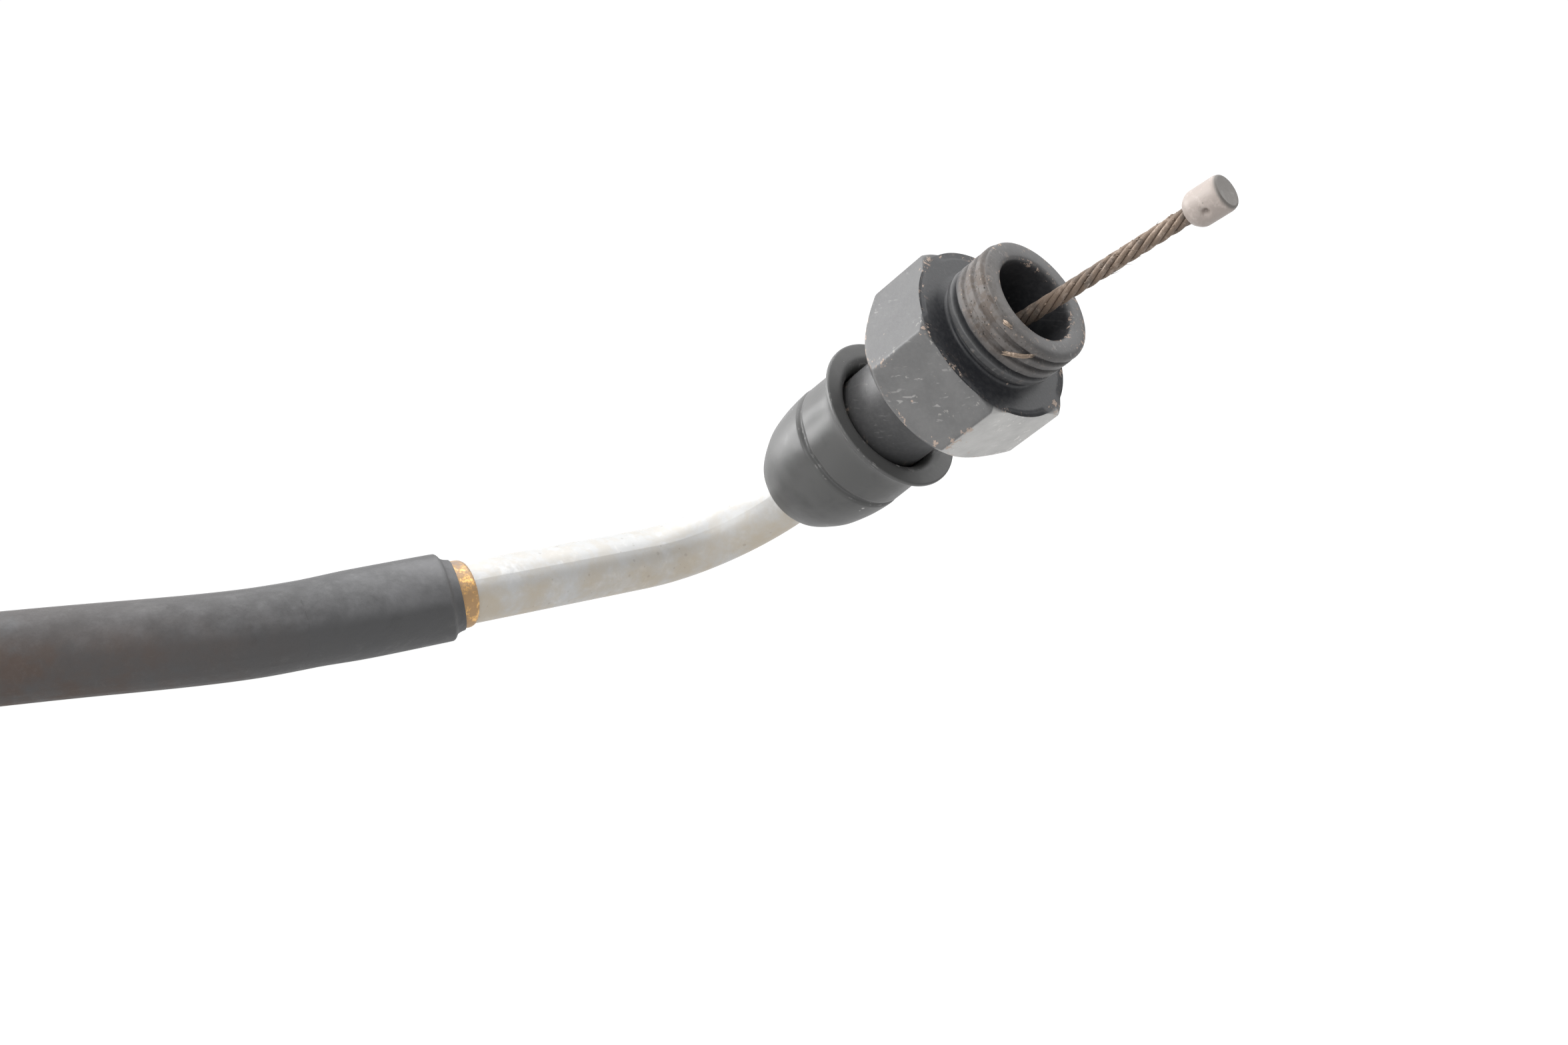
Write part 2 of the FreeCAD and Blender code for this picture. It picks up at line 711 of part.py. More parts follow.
def conduit_points():
    """The route of the conduit from the sleeve's rear end to the coil."""
    start = Vector(-sleeve_rear.value, 0, leg_height.value)
    return [start, start - Vector(FIRST_RUN, 0, 0)] + [Vector(*point) for point in ROUTE]


def make_conduit_layers():
    """Jacket, winding, liner and wire of the stretch between the sleeve and the coil."""
    free_run = route_edges(conduit_points())
    start = conduit_points()[0]
    inner_end = Vector(-amount("leg_length") - amount("end_gap"), 0, leg_height.value)
    joined = [Part.LineSegment(inner_end, start).toShape()] + free_run
    layers = [
        ("conduit_jacket", free_run, "conduit_od", "jacket_id"),
        ("conduit_winding", joined, "winding_od", "winding_id"),
        ("conduit_liner", joined, "core_liner_od", "liner_id"),
        ("inner_wire_run", joined, "wire_d", None),
    ]
    pieces = []
    for label, edges, outside, inside in layers:
        shape = swept_solid(edges, amount(outside))
        if inside:
            shape = shape.cut(swept_solid(edges, amount(inside)))
        pieces.append(solid_feature(label, shape))
    return pieces


def coil_radius_at(quarter):
    """Centreline radius of the coil after this many quarter turns."""
    step = amount("coil_step") / 4
    inward = min(quarter, amount("coil_in"))
    outward = max(0.0, quarter - amount("coil_in"))
    return amount("coil_radius") - step * inward + step * outward


def coil_frame():
    """Centre of the coil and the angle of its first point."""
    rate = amount("coil_step") / (2 * math.pi)
    entry = Vector(*ROUTE[-1]) + Vector(-amount("conduit_od"), 0, 0)
    first_angle = -math.atan2(amount("coil_radius"), rate)
    radius = amount("coil_radius")
    arm = Vector(math.cos(first_angle), math.sin(first_angle), 0) * radius
    return entry - arm, first_angle


def coil_stations():
    """Points and tangents of the coil at each quarter turn."""
    centre, first_angle = coil_frame()
    rate = amount("coil_step") / (2 * math.pi)
    turning_point = int(amount("coil_in"))
    stations = []
    for quarter in range(turning_point + int(amount("coil_out")) + 1):
        angle = first_angle - quarter * math.pi / 2
        radial = Vector(math.cos(angle), math.sin(angle), 0)
        along = Vector(math.sin(angle), -math.cos(angle), 0)
        radius = coil_radius_at(quarter)
        height = 0.0
        tangent = along * radius
        if quarter < turning_point:
            tangent = tangent - radial * rate
        elif quarter > turning_point:
            tangent = tangent + radial * rate
            height = amount("coil_step")
        else:
            height = amount("coil_step") / 2
            tangent = along + Vector(0, 0, amount("coil_climb"))
        point = centre + radial * radius + Vector(0, 0, height)
        stations.append((point, tangent.normalize()))
    return stations


def biarc(start, start_way, end, end_way):
    """Two arcs that leave start and reach end along the given tangents."""
    chord = end - start
    ways = start_way + end_way
    spread = 2 * (1 - start_way.dot(end_way))
    middle = chord.dot(ways)
    reach = (-middle + math.sqrt(middle * middle + spread * chord.dot(chord))) / spread
    first_corner = start + start_way * reach
    last_corner = end - end_way * reach
    joint = (first_corner + last_corner) / 2
    return [
        corner_arc(start, first_corner, joint).toShape(),
        corner_arc(joint, last_corner, end).toShape(),
    ]


def coil_edges():
    """The coil's centreline: a straight end, the quarter turns, a straight end."""
    stations = coil_stations()
    entry_point, entry_way = stations[0]
    exit_point, exit_way = stations[-1]
    straight = amount("conduit_od")
    edges = [Part.LineSegment(entry_point - entry_way * straight, entry_point).toShape()]
    for (start, way), (end, end_way) in zip(stations, stations[1:]):
        edges += biarc(start, way, end, end_way)
    edges.append(Part.LineSegment(exit_point, exit_point + exit_way * straight).toShape())
    return edges


def least_gap(edges, diameter):
    """Least gap between the coil's turns, measured on points along its centreline."""
    points = []
    travelled = 0.0
    for edge in edges:
        steps = max(2, int(edge.Length / 1.5))
        for point in edge.discretize(steps + 1)[:-1]:
            points.append((travelled, point))
            travelled += edge.Length / steps
    nearest = min(
        a.distanceToPoint(b)
        for i, (at_a, a) in enumerate(points)
        for at_b, b in points[i + 1 :]
        if at_b - at_a > 4 * diameter
    )
    return nearest - diameter


def make_conduit_coil():
    edges = coil_edges()
    print("coil's least gap %.2f" % least_gap(edges, amount("conduit_od")))
    return solid_feature("conduit_coil", swept_solid(edges, amount("conduit_od")))


def rounded_block(name, low, high, corner):
    """Block between two opposite corners, with its four edges along Y rounded."""
    block = doc.addObject("Part::Box", name + "_block")
    block.Length, block.Width, block.Height = high.x - low.x, high.y - low.y, high.z - low.z
    block.Placement = Placement(low, Rotation())
    doc.recompute()
    rounded = doc.addObject("Part::Fillet", name)
    rounded.Base = block
    rounded.Edges = [
        (number, corner, corner)
        for number, edge in enumerate(block.Shape.Edges, 1)
        if abs(edge.tangentAt(edge.FirstParameter).y) > 0.9
    ]
    return rounded


def strap_band(name, angle_deg):
    """One flat strap round the coil's turns at this angle about the coil's centre."""
    centre, first_angle = coil_frame()
    angle = math.radians(angle_deg)
    passed = ((first_angle - angle) % (2 * math.pi)) / (math.pi / 2)
    turns = amount("coil_in") + amount("coil_out")
    radii = []
    while passed <= turns:
        radii.append(coil_radius_at(passed))
        passed += 4
    gap, thickness = amount("strap_gap"), amount("strap_thickness")
    corner, half = amount("strap_corner"), amount("strap_width") / 2
    reach = amount("conduit_od") / 2 + amount("strap_side_gap")
    top = amount("coil_lift") + amount("coil_step") + amount("conduit_od") + gap
    low = Vector(min(radii) - reach, -half, amount("coil_lift") - gap)
    high = Vector(max(radii) + reach, half, top)
    wall = Vector(thickness, 0, thickness)
    loop = doc.addObject("Part::Cut", name)
    loop.Base = rounded_block(name + "_outside", low - wall, high + wall, corner + thickness)
    loop.Tool = rounded_block(name + "_inside", low, high, corner)
    centre_on_floor = Vector(centre.x, centre.y, 0)
    loop.Placement = Placement(centre_on_floor, Rotation(Vector(0, 0, 1), angle_deg))
    return loop


def make_coil_straps():
    straps = doc.addObject("Part::Compound", "coil_straps")
    straps.Label = "coil_straps"
    straps.Links = [
        strap_band("strap_%d" % number, angle) for number, angle in enumerate(STRAP_ANGLES, 1)
    ]
    straps.Placement = base
    return straps


def far_frame():
    """Frame at the coil's end, with +Z along the way that the conduit points."""
    point, way = coil_stations()[-1]
    end = point + way * amount("conduit_od")
    return base * Placement(end, Rotation(Vector(0, 0, 1), way))


def make_far_ferrule():
    """Stepped ferrule on the coil's end, with a bore for the wire."""
    bore = size("wire_d") / 2 + size("far_clearance")
    barrel, nose = size("far_barrel_d") / 2, size("far_nose_d") / 2
    step, length = size("far_barrel"), size("far_barrel") + size("far_nose")
    outline = [
        (bore, ZERO),
        (barrel, ZERO),
        (barrel, step),
        (nose, step),
        (nose, length),
        (bore, length),
    ]
    return turned_piece("far_ferrule", far_frame(), outline)


def make_far_wire():
    wire = doc.addObject("Part::Cylinder", "far_wire")
    wire.Label = "far_wire"
    length = size("far_tail") + size("far_reach") + size("far_nipple_d")
    bind(wire, Radius=size("wire_d") / 2, Height=length)
    tail_at = size("far_barrel") + size("far_nose") - size("far_tail")
    wire.Placement = far_frame() * Placement(Vector(0, 0, tail_at.value), Rotation())
    return wire


def make_far_nipple():
    """Barrel nipple across the wire's end, with a waist where the wire passes."""
    length, head = size("far_nipple_length"), size("far_nipple_head")
    radius, waist = size("far_nipple_d") / 2, size("far_nipple_waist") / 2
    middle = size("far_barrel") + size("far_nose") + size("far_reach") + size("far_nipple_d") / 2
    across = Rotation(Vector(0, 0, 1), Vector(0, 1, 0))
    place = Placement(Vector(0, -length.value / 2, middle.value), across)
    outline = [
        (ZERO, ZERO),
        (radius, ZERO),
        (radius, head),
        (waist, head),
        (waist, length - head),
        (radius, length - head),
        (radius, length),
        (ZERO, length),
    ]
    barrel = turned_piece("far_barrel_blank", place, outline)
    drill = doc.addObject("Part::Cylinder", "far_nipple_drill")
    bind(drill, Radius=size("wire_d") / 2, Height=size("far_nipple_d") * 2)
    drill.Placement = Placement(
        Vector(0, 0, middle.value - amount("far_nipple_d")), Rotation()
    )
    nipple = doc.addObject("Part::Cut", "far_nipple")
    nipple.Label = "far_nipple"
    nipple.Base = barrel
    nipple.Tool = drill
    nipple.Placement = far_frame()
    return nipple


def main():
    pieces = [
        make_guide_tube(),
        make_tube_collar(),
        make_tube_liner(),
        make_bend_wire(),
        make_crimp_ferrule(),
        make_end_sleeve(),
        make_thread_nut(),
        make_rubber_boot(),
        make_mouth_bush(),
        make_near_wire(),
        make_near_nipple(),
        *make_conduit_layers(),
        make_conduit_coil(),
        make_coil_straps(),
        make_far_ferrule(),
        make_far_wire(),
        make_far_nipple(),
    ]
    doc.recompute()
    for item in doc.Objects:
        if "Invalid" in item.State or "Error" in item.State:
            raise RuntimeError("%s failed: %s" % (item.Label, item.State))
    for piece in pieces:
        if piece.Shape.isNull() or not piece.Shape.isValid():
            raise RuntimeError("%s has no valid shape" % piece.Label)
    for piece in pieces:
        piece.Shape.exportStep(os.path.join("parts", piece.Label + ".step"))
        print("%-16s solids %d volume %.1f" % (
            piece.Label, len(piece.Shape.Solids), piece.Shape.Volume
        ))


main()
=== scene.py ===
"""Visible pieces of one photographed end of a sheathed control cable.

Each piece is made in millimetres in a frame of its own and placed in metres round the
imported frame. Heights in a turned piece run along its axis.
"""

import math
import random

import bmesh
import bpy
import numpy as np
from mathutils import Matrix, Vector


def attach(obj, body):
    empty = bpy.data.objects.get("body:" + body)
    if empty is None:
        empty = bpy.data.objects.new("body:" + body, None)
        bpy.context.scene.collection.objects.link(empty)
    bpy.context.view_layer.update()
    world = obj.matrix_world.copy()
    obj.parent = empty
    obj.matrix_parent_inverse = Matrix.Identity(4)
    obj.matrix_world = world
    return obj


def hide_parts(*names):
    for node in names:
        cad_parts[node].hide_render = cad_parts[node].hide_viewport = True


bl_info = {
    "name": "Control Cable Dressing",
    "version": (1, 0, 0),
    "blender": (4, 5, 0),
    "location": "View3D > Sidebar > Control Cable",
    "description": "Builds the visible pieces of a sheathed control cable round its frame",
    "category": "Object",
}

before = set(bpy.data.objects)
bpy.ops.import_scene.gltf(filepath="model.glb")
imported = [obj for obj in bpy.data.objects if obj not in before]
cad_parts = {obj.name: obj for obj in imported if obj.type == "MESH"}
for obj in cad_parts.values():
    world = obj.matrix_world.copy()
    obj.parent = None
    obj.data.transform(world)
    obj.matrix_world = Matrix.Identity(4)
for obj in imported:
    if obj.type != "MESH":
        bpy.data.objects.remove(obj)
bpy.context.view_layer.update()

MM = 0.001
TURN = 2 * math.pi

# Where the bend starts, in millimetres, and the shape of the guide tube
BEND_START = Vector((4.7, 24.28, 3.95))
BEND_RADIUS = 12.3
BEND_ANGLE = math.radians(84.0)
BEND_ROLL = math.radians(37.0)
NOSE_LENGTH = 26.8
WIRE_SIDE = math.radians(200.1)
WIRE_DROOP = math.radians(5.25)
WIRE_OFFSET = 0.3
DRAWN_IN = 12.4
HEX_TURN = math.radians(25.3)

# The conduit's route after the sleeve, from the bend's start, in millimetres
CONDUIT_ROUTE = [
    (-33.6, 0.0, 3.95), (-38.4, 0.0, 3.94), (-42.2, 0.6, 3.92), (-47.4, 2.1, 3.95),
    (-55.8, 5.3, 4.0), (-69.8, 9.4, 4.1), (-82.0, 10.9, 4.3), (-95.4, 10.9, 4.35),
]
COIL_ENTRY = Vector((-102.9, 10.9, 4.35))
COIL_RADIUS = 47.0
COIL_STEP = 8.0
COIL_IN = 8
COIL_OUT = 6
COIL_POINTS = 4
FAR_RUN = 7.5
CONDUIT_RADIUS = 3.75

# The straps' inner face: its clearance beside the coil, its heights and its corners
STRAP_ANGLES = (120.0, 215.0)
STRAP_SIDE_GAP = 0.5
STRAP_LOW, STRAP_HIGH = 0.45, 16.25
STRAP_CORNER = 3.4

# The free wire: how far it starts behind the tube's mouth, and the nipple's place on it
WIRE_BACK = 2.4
NIPPLE_PLACE = 22.3
WIRE_IN_NIPPLE = 2.9

SHIFT = Vector((BEND_START.x, BEND_START.y, 0.0))

# The photograph's camera, in millimetres from the bend's start
CAMERA_PLACE = Vector((-125.09, -158.25, 50.33))
CAMERA_AZIMUTH = math.radians(42.19)
CAMERA_DIP = math.radians(12.0)

# The floor, in metres, a hair below the lowest piece
FLOOR_HALF = 3
FLOOR_HEIGHT = -0.00002
SQUARE = ((-1, -1), (1, -1), (1, 1), (-1, 1))

# The bright and dark sides of the light tent
TENT_WAY = (-0.8, 0.55, 0.2)
FRONT_WAY = (-0.66, -0.73, 0.2)
TOP_WAY = (0.66, -0.16, 0.73)
KEY_WAY = (-0.5, 0.85, 0.17)


def bend_frame():
    """Frame at the bend's start: the bend lies in its XY plane, the leg along -X."""
    return Matrix.Translation(BEND_START) @ Matrix.Rotation(math.pi - BEND_ROLL, 4, "X")


def nose_frame():
    """Frame at the bend's end, with +Z along the nut's axis."""
    reach = BEND_RADIUS * math.sin(BEND_ANGLE)
    rise = BEND_RADIUS * (1 - math.cos(BEND_ANGLE))
    return (
        bend_frame()
        @ Matrix.Translation((reach, rise, 0))
        @ Matrix.Rotation(BEND_ANGLE, 4, "Z")
        @ Matrix.Rotation(math.pi / 2, 4, "Y")
    )


def leg_frame():
    """Frame at the bend's start, with +Z back along the leg towards the conduit."""
    return bend_frame() @ Matrix.Rotation(-math.pi / 2, 4, "Y")


def wire_frame():
    """Frame at the tube's mouth, with +Z along the free wire."""
    return (
        nose_frame()
        @ Matrix.Rotation(WIRE_SIDE, 4, "Z")
        @ Matrix.Translation((WIRE_OFFSET, 0, NOSE_LENGTH))
        @ Matrix.Rotation(WIRE_DROOP, 4, "Y")
    )


def coil_centre():
    """Centre of the coil, and the angle at which the conduit enters it."""
    first = -math.atan2(COIL_RADIUS, COIL_STEP / TURN)
    arm = Vector((math.cos(first), math.sin(first), 0)) * COIL_RADIUS
    return COIL_ENTRY - arm, first


def coil_radius(quarter):
    """Radius of the coil's centreline after this many quarter turns."""
    step = COIL_STEP / 4
    return COIL_RADIUS - step * min(quarter, COIL_IN) + step * max(0.0, quarter - COIL_IN)


def coil_point(quarter, swell=1.0):
    """Point of the coil's centreline after this many quarter turns."""
    centre, first = coil_centre()
    angle = first - quarter * math.pi / 2
    radius = coil_radius(quarter) * swell
    climb = min(1.0, max(0.0, (quarter - COIL_IN + 1) / 2))
    height = COIL_STEP * climb * climb * (3 - 2 * climb)
    return centre + Vector((math.cos(angle) * radius, math.sin(angle) * radius, height))


def far_way():
    """Direction in which the conduit leaves the coil."""
    quarter = COIL_IN + COIL_OUT
    centre, first = coil_centre()
    angle = first - quarter * math.pi / 2
    along = Vector((math.sin(angle), -math.cos(angle), 0)) * coil_radius(quarter)
    outward = Vector((math.cos(angle), math.sin(angle), 0)) * (COIL_STEP / TURN)
    return (along + outward).normalized()


def far_frame():
    """Frame at the coil's end, with +Z along the far ferrule."""
    end = coil_point(COIL_IN + COIL_OUT) + far_way() * FAR_RUN + SHIFT
    across = Vector((0, 0, 1)).cross(far_way())
    columns = (across, Vector((0, 0, 1)), far_way())
    turn = Matrix([[column[row] for column in columns] for row in range(3)])
    return Matrix.Translation(end) @ turn.to_4x4()


# Mesh making


def shown(name, data):
    """New object in the scene."""
    made = bpy.data.objects.new(name, data)
    bpy.context.scene.collection.objects.link(made)
    return made


def set_attribute(mesh, name, values):
    """Store one number per vertex on a mesh."""
    layer = mesh.attributes.new(name, "FLOAT", "POINT")
    layer.data.foreach_set("value", np.asarray(values, np.float32))


def finish_mesh(name, vertices, faces, place, attributes):
    """Object from vertices in millimetres, put at its place in metres."""
    mesh = bpy.data.meshes.new(name)
    mesh.from_pydata([tuple(v) for v in vertices], [], faces)
    for label, values in attributes.items():
        set_attribute(mesh, label, values)
    mesh.transform(Matrix.Scale(MM, 4) @ place)
    shape = bmesh.new()
    shape.from_mesh(mesh)
    bmesh.ops.recalc_face_normals(shape, faces=shape.faces)
    shape.to_mesh(mesh)
    shape.free()
    mesh.shade_smooth()
    return shown(name, mesh)


def skin(name, rings, place, closed=False, **attributes):
    """Closed surface through rings of points; its open ends are capped."""
    rings = np.asarray(rings, float)
    count, around = rings.shape[:2]
    vertices = rings.reshape(-1, 3)
    values = {key: np.asarray(value, float).reshape(-1) for key, value in attributes.items()}
    faces = []
    for i in range(count if closed else count - 1):
        here, there = i * around, ((i + 1) % count) * around
        for j in range(around):
            k = (j + 1) % around
            faces.append((here + j, here + k, there + k, there + j))
    if not closed:
        for end in (0, count - 1):
            hub = len(vertices)
            vertices = np.vstack([vertices, rings[end].mean(0)])
            for key, value in values.items():
                values[key] = np.append(value, value[end * around])
            for j in range(around):
                k = (j + 1) % around
                faces.append((hub, end * around + j, end * around + k))
    return finish_mesh(name, vertices, faces, place, values)


def rounded(corners, closed=True, steps=4):
    """Outline with rounded corners, from (radius, height, rounding) triples.

    Each point comes back as (radius, height, edge), with edge 1 on a rounded corner.
    """
    outline = []
    last = len(corners) - 1
    for number, (radius, height, size) in enumerate(corners):
        here = np.array([radius, height])
        if size <= 0 or (not closed and number in (0, last)):
            outline.append((radius, height, 0.0))
            continue
        before = np.array(corners[number - 1][:2]) - here
        after = np.array(corners[(number + 1) % len(corners)][:2]) - here
        reach = min(size, 0.45 * np.linalg.norm(before), 0.45 * np.linalg.norm(after))
        start = here + before / np.linalg.norm(before) * reach
        end = here + after / np.linalg.norm(after) * reach
        for step in range(steps + 1):
            t = step / steps
            point = start * (1 - t) ** 2 + here * 2 * t * (1 - t) + end * t * t
            outline.append((point[0], point[1], 1.0 - abs(2 * t - 1) ** 2))
    return outline


def smooth_line(points, steps=6):
    """Smooth outline through (radius, height) points, with no rubbed edge on it."""
    places = [np.array(point, float) for point in points]
    padded = [2 * places[0] - places[1], *places, 2 * places[-1] - places[-2]]
    outline = []
    for before, start, end, after in zip(padded, padded[1:], padded[2:], padded[3:]):
        for step in range(steps):
            t = step / steps
            pull_in, pull_out = (end - before) / 2, (after - start) / 2
            point = (
                (2 * t**3 - 3 * t * t + 1) * start
                + (t**3 - 2 * t * t + t) * pull_in
                + (3 * t * t - 2 * t**3) * end
                + (t**3 - t * t) * pull_out
            )
            outline.append((point[0], point[1], 0.0))
    outline.append((places[-1][0], places[-1][1], 0.0))
    return outline


def divided(outline, longest, closed=True):
    """The same outline with no step longer than this."""
    points = []
    count = len(outline)
    for number in range(count if closed else count - 1):
        start = np.array(outline[number])
        end = np.array(outline[(number + 1) % count])
        pieces = max(1, math.ceil(np.linalg.norm((end - start)[:2]) / longest))
        for step in range(pieces):
            points.append(start + (end - start) * step / pieces)
    if not closed:
        points.append(np.array(outline[-1]))
    return points


def turned(name, outline, place, around=96, closed=True, shape=None, mask=None):
    """Piece turned about Z from (radius, height, edge) points.

    shape may push its rings, and mask gives each point its share of grime.
    """
    angles = np.arange(around) * TURN / around
    rings, edges, grime = [], [], []
    for radius, height, edge in outline:
        r = np.full(around, float(radius))
        z = np.full(around, float(height))
        if shape is not None:
            r, z = shape(r, z, angles)
        rings.append(np.stack([r * np.cos(angles), r * np.sin(angles), z], axis=1))
        edges.append(np.full(around, edge))
        grime.append(np.full(around, mask(radius, height) if mask else 0.0))
    return skin(name, rings, place, closed, edge=edges, grime=grime)


def signed_angle(angles, degrees):
    """Angles from one direction, from minus to plus half a turn."""
    return (angles - math.radians(degrees) + math.pi) % TURN - math.pi


def waves(angles, heights, size, seed):
    """Slow unevenness of a moulded or drawn surface, in millimetres."""
    chance = random.Random(seed)
    total = np.zeros_like(angles)
    for lobes in (2, 3, 5):
        phase, slope = chance.uniform(0, TURN), chance.uniform(0.15, 0.6)
        total = total + np.sin(lobes * angles + slope * heights + phase) / lobes
    return total * size


def bar_along(name, points, radii, around, place, **attributes):
    """Round bar through points in millimetres, with a radius at each point."""
    points = [Vector(point) for point in points]
    rings = []
    side = None
    for number, point in enumerate(points):
        before = points[max(0, number - 1)]
        after = points[min(len(points) - 1, number + 1)]
        way = (after - before).normalized()
        if side is None:
            side = way.orthogonal().normalized()
        side = (side - way * side.dot(way)).normalized()
        other = way.cross(side)
        ring = []
        for step in range(around):
            angle = TURN * step / around
            arm = side * math.cos(angle) + other * math.sin(angle)
            ring.append(tuple(point + arm * radii[number]))
        rings.append(ring)
    return skin(name, rings, place, **attributes)


def joined(pieces, name):
    """One object from several meshes."""
    shape = bmesh.new()
    for piece in pieces:
        shape.from_mesh(piece.data)
    mesh = bpy.data.meshes.new(name)
    shape.to_mesh(mesh)
    shape.free()
    for piece in pieces:
        bpy.data.objects.remove(piece)
    return shown(name, mesh)


# Shader node groups and materials


class Tree:
    """Short names for building a node tree."""

    def __init__(self, tree):
        self.tree = tree

    def node(self, kind, **settings):
        made = self.tree.nodes.new(kind)
        for key, value in settings.items():
            setattr(made, key, value)
        return made

    def feed(self, socket, value):
        """Link an output to a socket, or set the socket's own value."""
        if isinstance(value, bpy.types.NodeSocket):
            self.tree.links.new(value, socket)
        else:
            socket.default_value = value

    def fill(self, made, **values):
        """Feed inputs by name, with _ for a space."""
        for key, value in values.items():
            self.feed(made.inputs[key.replace("_", " ").title()], value)

    def filled(self, kind, **values):
        """New node with fed inputs."""
        made = self.node(kind)
        self.fill(made, **values)
        return made

    def noise(self, coordinates, scale, detail=4.0, roughness=0.55, warp=0.0):
        made = self.filled("ShaderNodeTexNoise", vector=coordinates, scale=scale, detail=detail)
        self.fill(made, roughness=roughness, distortion=warp)
        return made.outputs["Fac"]

    def spread(self, value, low, high, to_low=0.0, to_high=1.0):
        """Smooth step of a value between two limits."""
        made = self.node("ShaderNodeMapRange", interpolation_type="SMOOTHSTEP")
        self.fill(made, value=value, from_min=low, from_max=high, to_min=to_low, to_max=to_high)
        return made.outputs["Result"]

    def math(self, operation, first, second=0.0, clamp=False):
        made = self.node("ShaderNodeMath", operation=operation, use_clamp=clamp)
        self.feed(made.inputs[0], first)
        self.feed(made.inputs[1], second)
        return made.outputs[0]

    def times(self, first, second, clamp=False):
        return self.math("MULTIPLY", first, second, clamp)

    def plus(self, first, second, clamp=False):
        return self.math("ADD", first, second, clamp)

    def less(self, first, second):
        return self.math("SUBTRACT", first, second)

    def attribute(self, name):
        """One of the numbers that a piece has at each vertex."""
        return self.node("ShaderNodeAttribute", attribute_name=name).outputs["Fac"]

    def mix(self, factor, first, second):
        """Mix of two colours, each a socket or three numbers."""
        made = self.node("ShaderNodeMix", data_type="RGBA")
        self.feed(made.inputs[0], factor)
        sockets = [socket for socket in made.inputs if socket.type == "RGBA"]
        for socket, colour in zip(sockets, (first, second)):
            linked = isinstance(colour, bpy.types.NodeSocket)
            self.feed(socket, colour if linked else rgb(*colour))
        return [socket for socket in made.outputs if socket.type == "RGBA"][0]

    def facing(self, coordinates, way):
        """How far these coordinates point along a direction."""
        made = self.node("ShaderNodeVectorMath", operation="DOT_PRODUCT")
        self.feed(made.inputs[0], self.node("ShaderNodeTexCoord").outputs[coordinates])
        self.feed(made.inputs[1], way)
        return made.outputs["Value"]

    def place(self):
        """Object coordinates."""
        return self.node("ShaderNodeTexCoord").outputs["Object"]

    def stretched(self, coordinates, scale, turn=(0, 0, 0)):
        made = self.filled("ShaderNodeMapping", vector=coordinates, scale=scale, rotation=turn)
        return made.outputs["Vector"]

    def group(self, name, **values):
        """Place a shared node group with its own values."""
        made = self.node("ShaderNodeGroup")
        made.node_tree = SHARED[name]()
        self.fill(made, **values)
        return made.outputs[0]


SHARED = {}


def shared(**inputs):
    """Keep a function's name for a node group that it makes, with these inputs."""

    def keep(make):
        title = make.__name__.replace("_", " ").title()
        SHARED[make.__name__] = lambda: shared_group(title, make, inputs)
        return make

    return keep


def shared_group(name, make, inputs):
    """A shader node group that is built once; its first input is Place."""
    found = bpy.data.node_groups.get(name)
    if found:
        return found
    group = bpy.data.node_groups.new(name, "ShaderNodeTree")
    group.interface.new_socket("Place", in_out="INPUT", socket_type="NodeSocketVector")
    for label, value in inputs.items():
        kind = "NodeSocketVector" if isinstance(value, tuple) else "NodeSocketFloat"
        socket = group.interface.new_socket(label, in_out="INPUT", socket_type=kind)
        socket.default_value = value
    group.interface.new_socket("Mask", in_out="OUTPUT", socket_type="NodeSocketFloat")
    build = Tree(group)
    given = build.node("NodeGroupInput")
    result = build.node("NodeGroupOutput")
    build.feed(result.inputs[0], make(build, given.outputs))
    return group


@shared(Scale=300.0, Cover=0.5, Softness=0.12)
def blotches(build, given):
    """Uneven patches: Scale in patches per metre, Cover from 0 to 1."""
    wide = build.noise(given["Place"], given["Scale"], 5.0, 0.6, 0.4)
    fine = build.noise(given["Place"], build.times(given["Scale"], 4.7), 3.0)
    fine = build.times(fine, 0.3)
    total = build.plus(build.times(wide, 0.7), fine)
    edge = build.less(0.74, build.times(given["Cover"], 0.48))
    return build.spread(total, build.less(edge, given["Softness"]), edge)


@shared(Scale=900.0, Amount=1.0)
def edge_wear(build, given):
    """Rubbed edges, from the piece's own edge attribute, in scattered stretches."""
    edge = build.attribute("edge")
    breaks = build.noise(given["Place"], given["Scale"], 5.0, 0.65)
    breaks = build.spread(breaks, 0.44, 0.62)
    stretch = build.noise(given["Place"], build.times(given["Scale"], 0.22), 2.0)
    stretch = build.spread(stretch, 0.44, 0.58, 0.12, 1.0)
    worn = build.times(edge, build.times(stretch, given["Amount"]))
    worn = build.plus(worn, build.less(breaks, 1.0))
    return build.spread(worn, 0.0, 0.3)


@shared(Scale=2000.0, Cover=0.1)
def specks(build, given):
    """Small separate specks: Scale in cells per metre, Cover from 0 to 1."""
    cells = build.node("ShaderNodeTexVoronoi", feature="F1")
    build.fill(cells, vector=given["Place"], scale=given["Scale"])
    picked = build.node("ShaderNodeSeparateColor")
    build.feed(picked.inputs[0], cells.outputs["Color"])
    chosen = build.math("LESS_THAN", picked.outputs[0], given["Cover"])
    size = build.math("MULTIPLY_ADD", picked.outputs[1], 0.22)
    size.node.inputs[2].default_value = 0.08
    dot = build.math("LESS_THAN", cells.outputs["Distance"], size)
    return build.times(dot, chosen)


@shared(Scale=600.0)
def scuffs(build, given):
    """Fine directional scratches: Place is already stretched along the scratch."""
    streaks = build.noise(given["Place"], given["Scale"], 2.0, 0.5, 0.3)
    patches = build.noise(given["Place"], build.times(given["Scale"], 0.12))
    lines = build.spread(streaks, 0.6, 0.7)
    return build.times(lines, build.spread(patches, 0.42, 0.62))


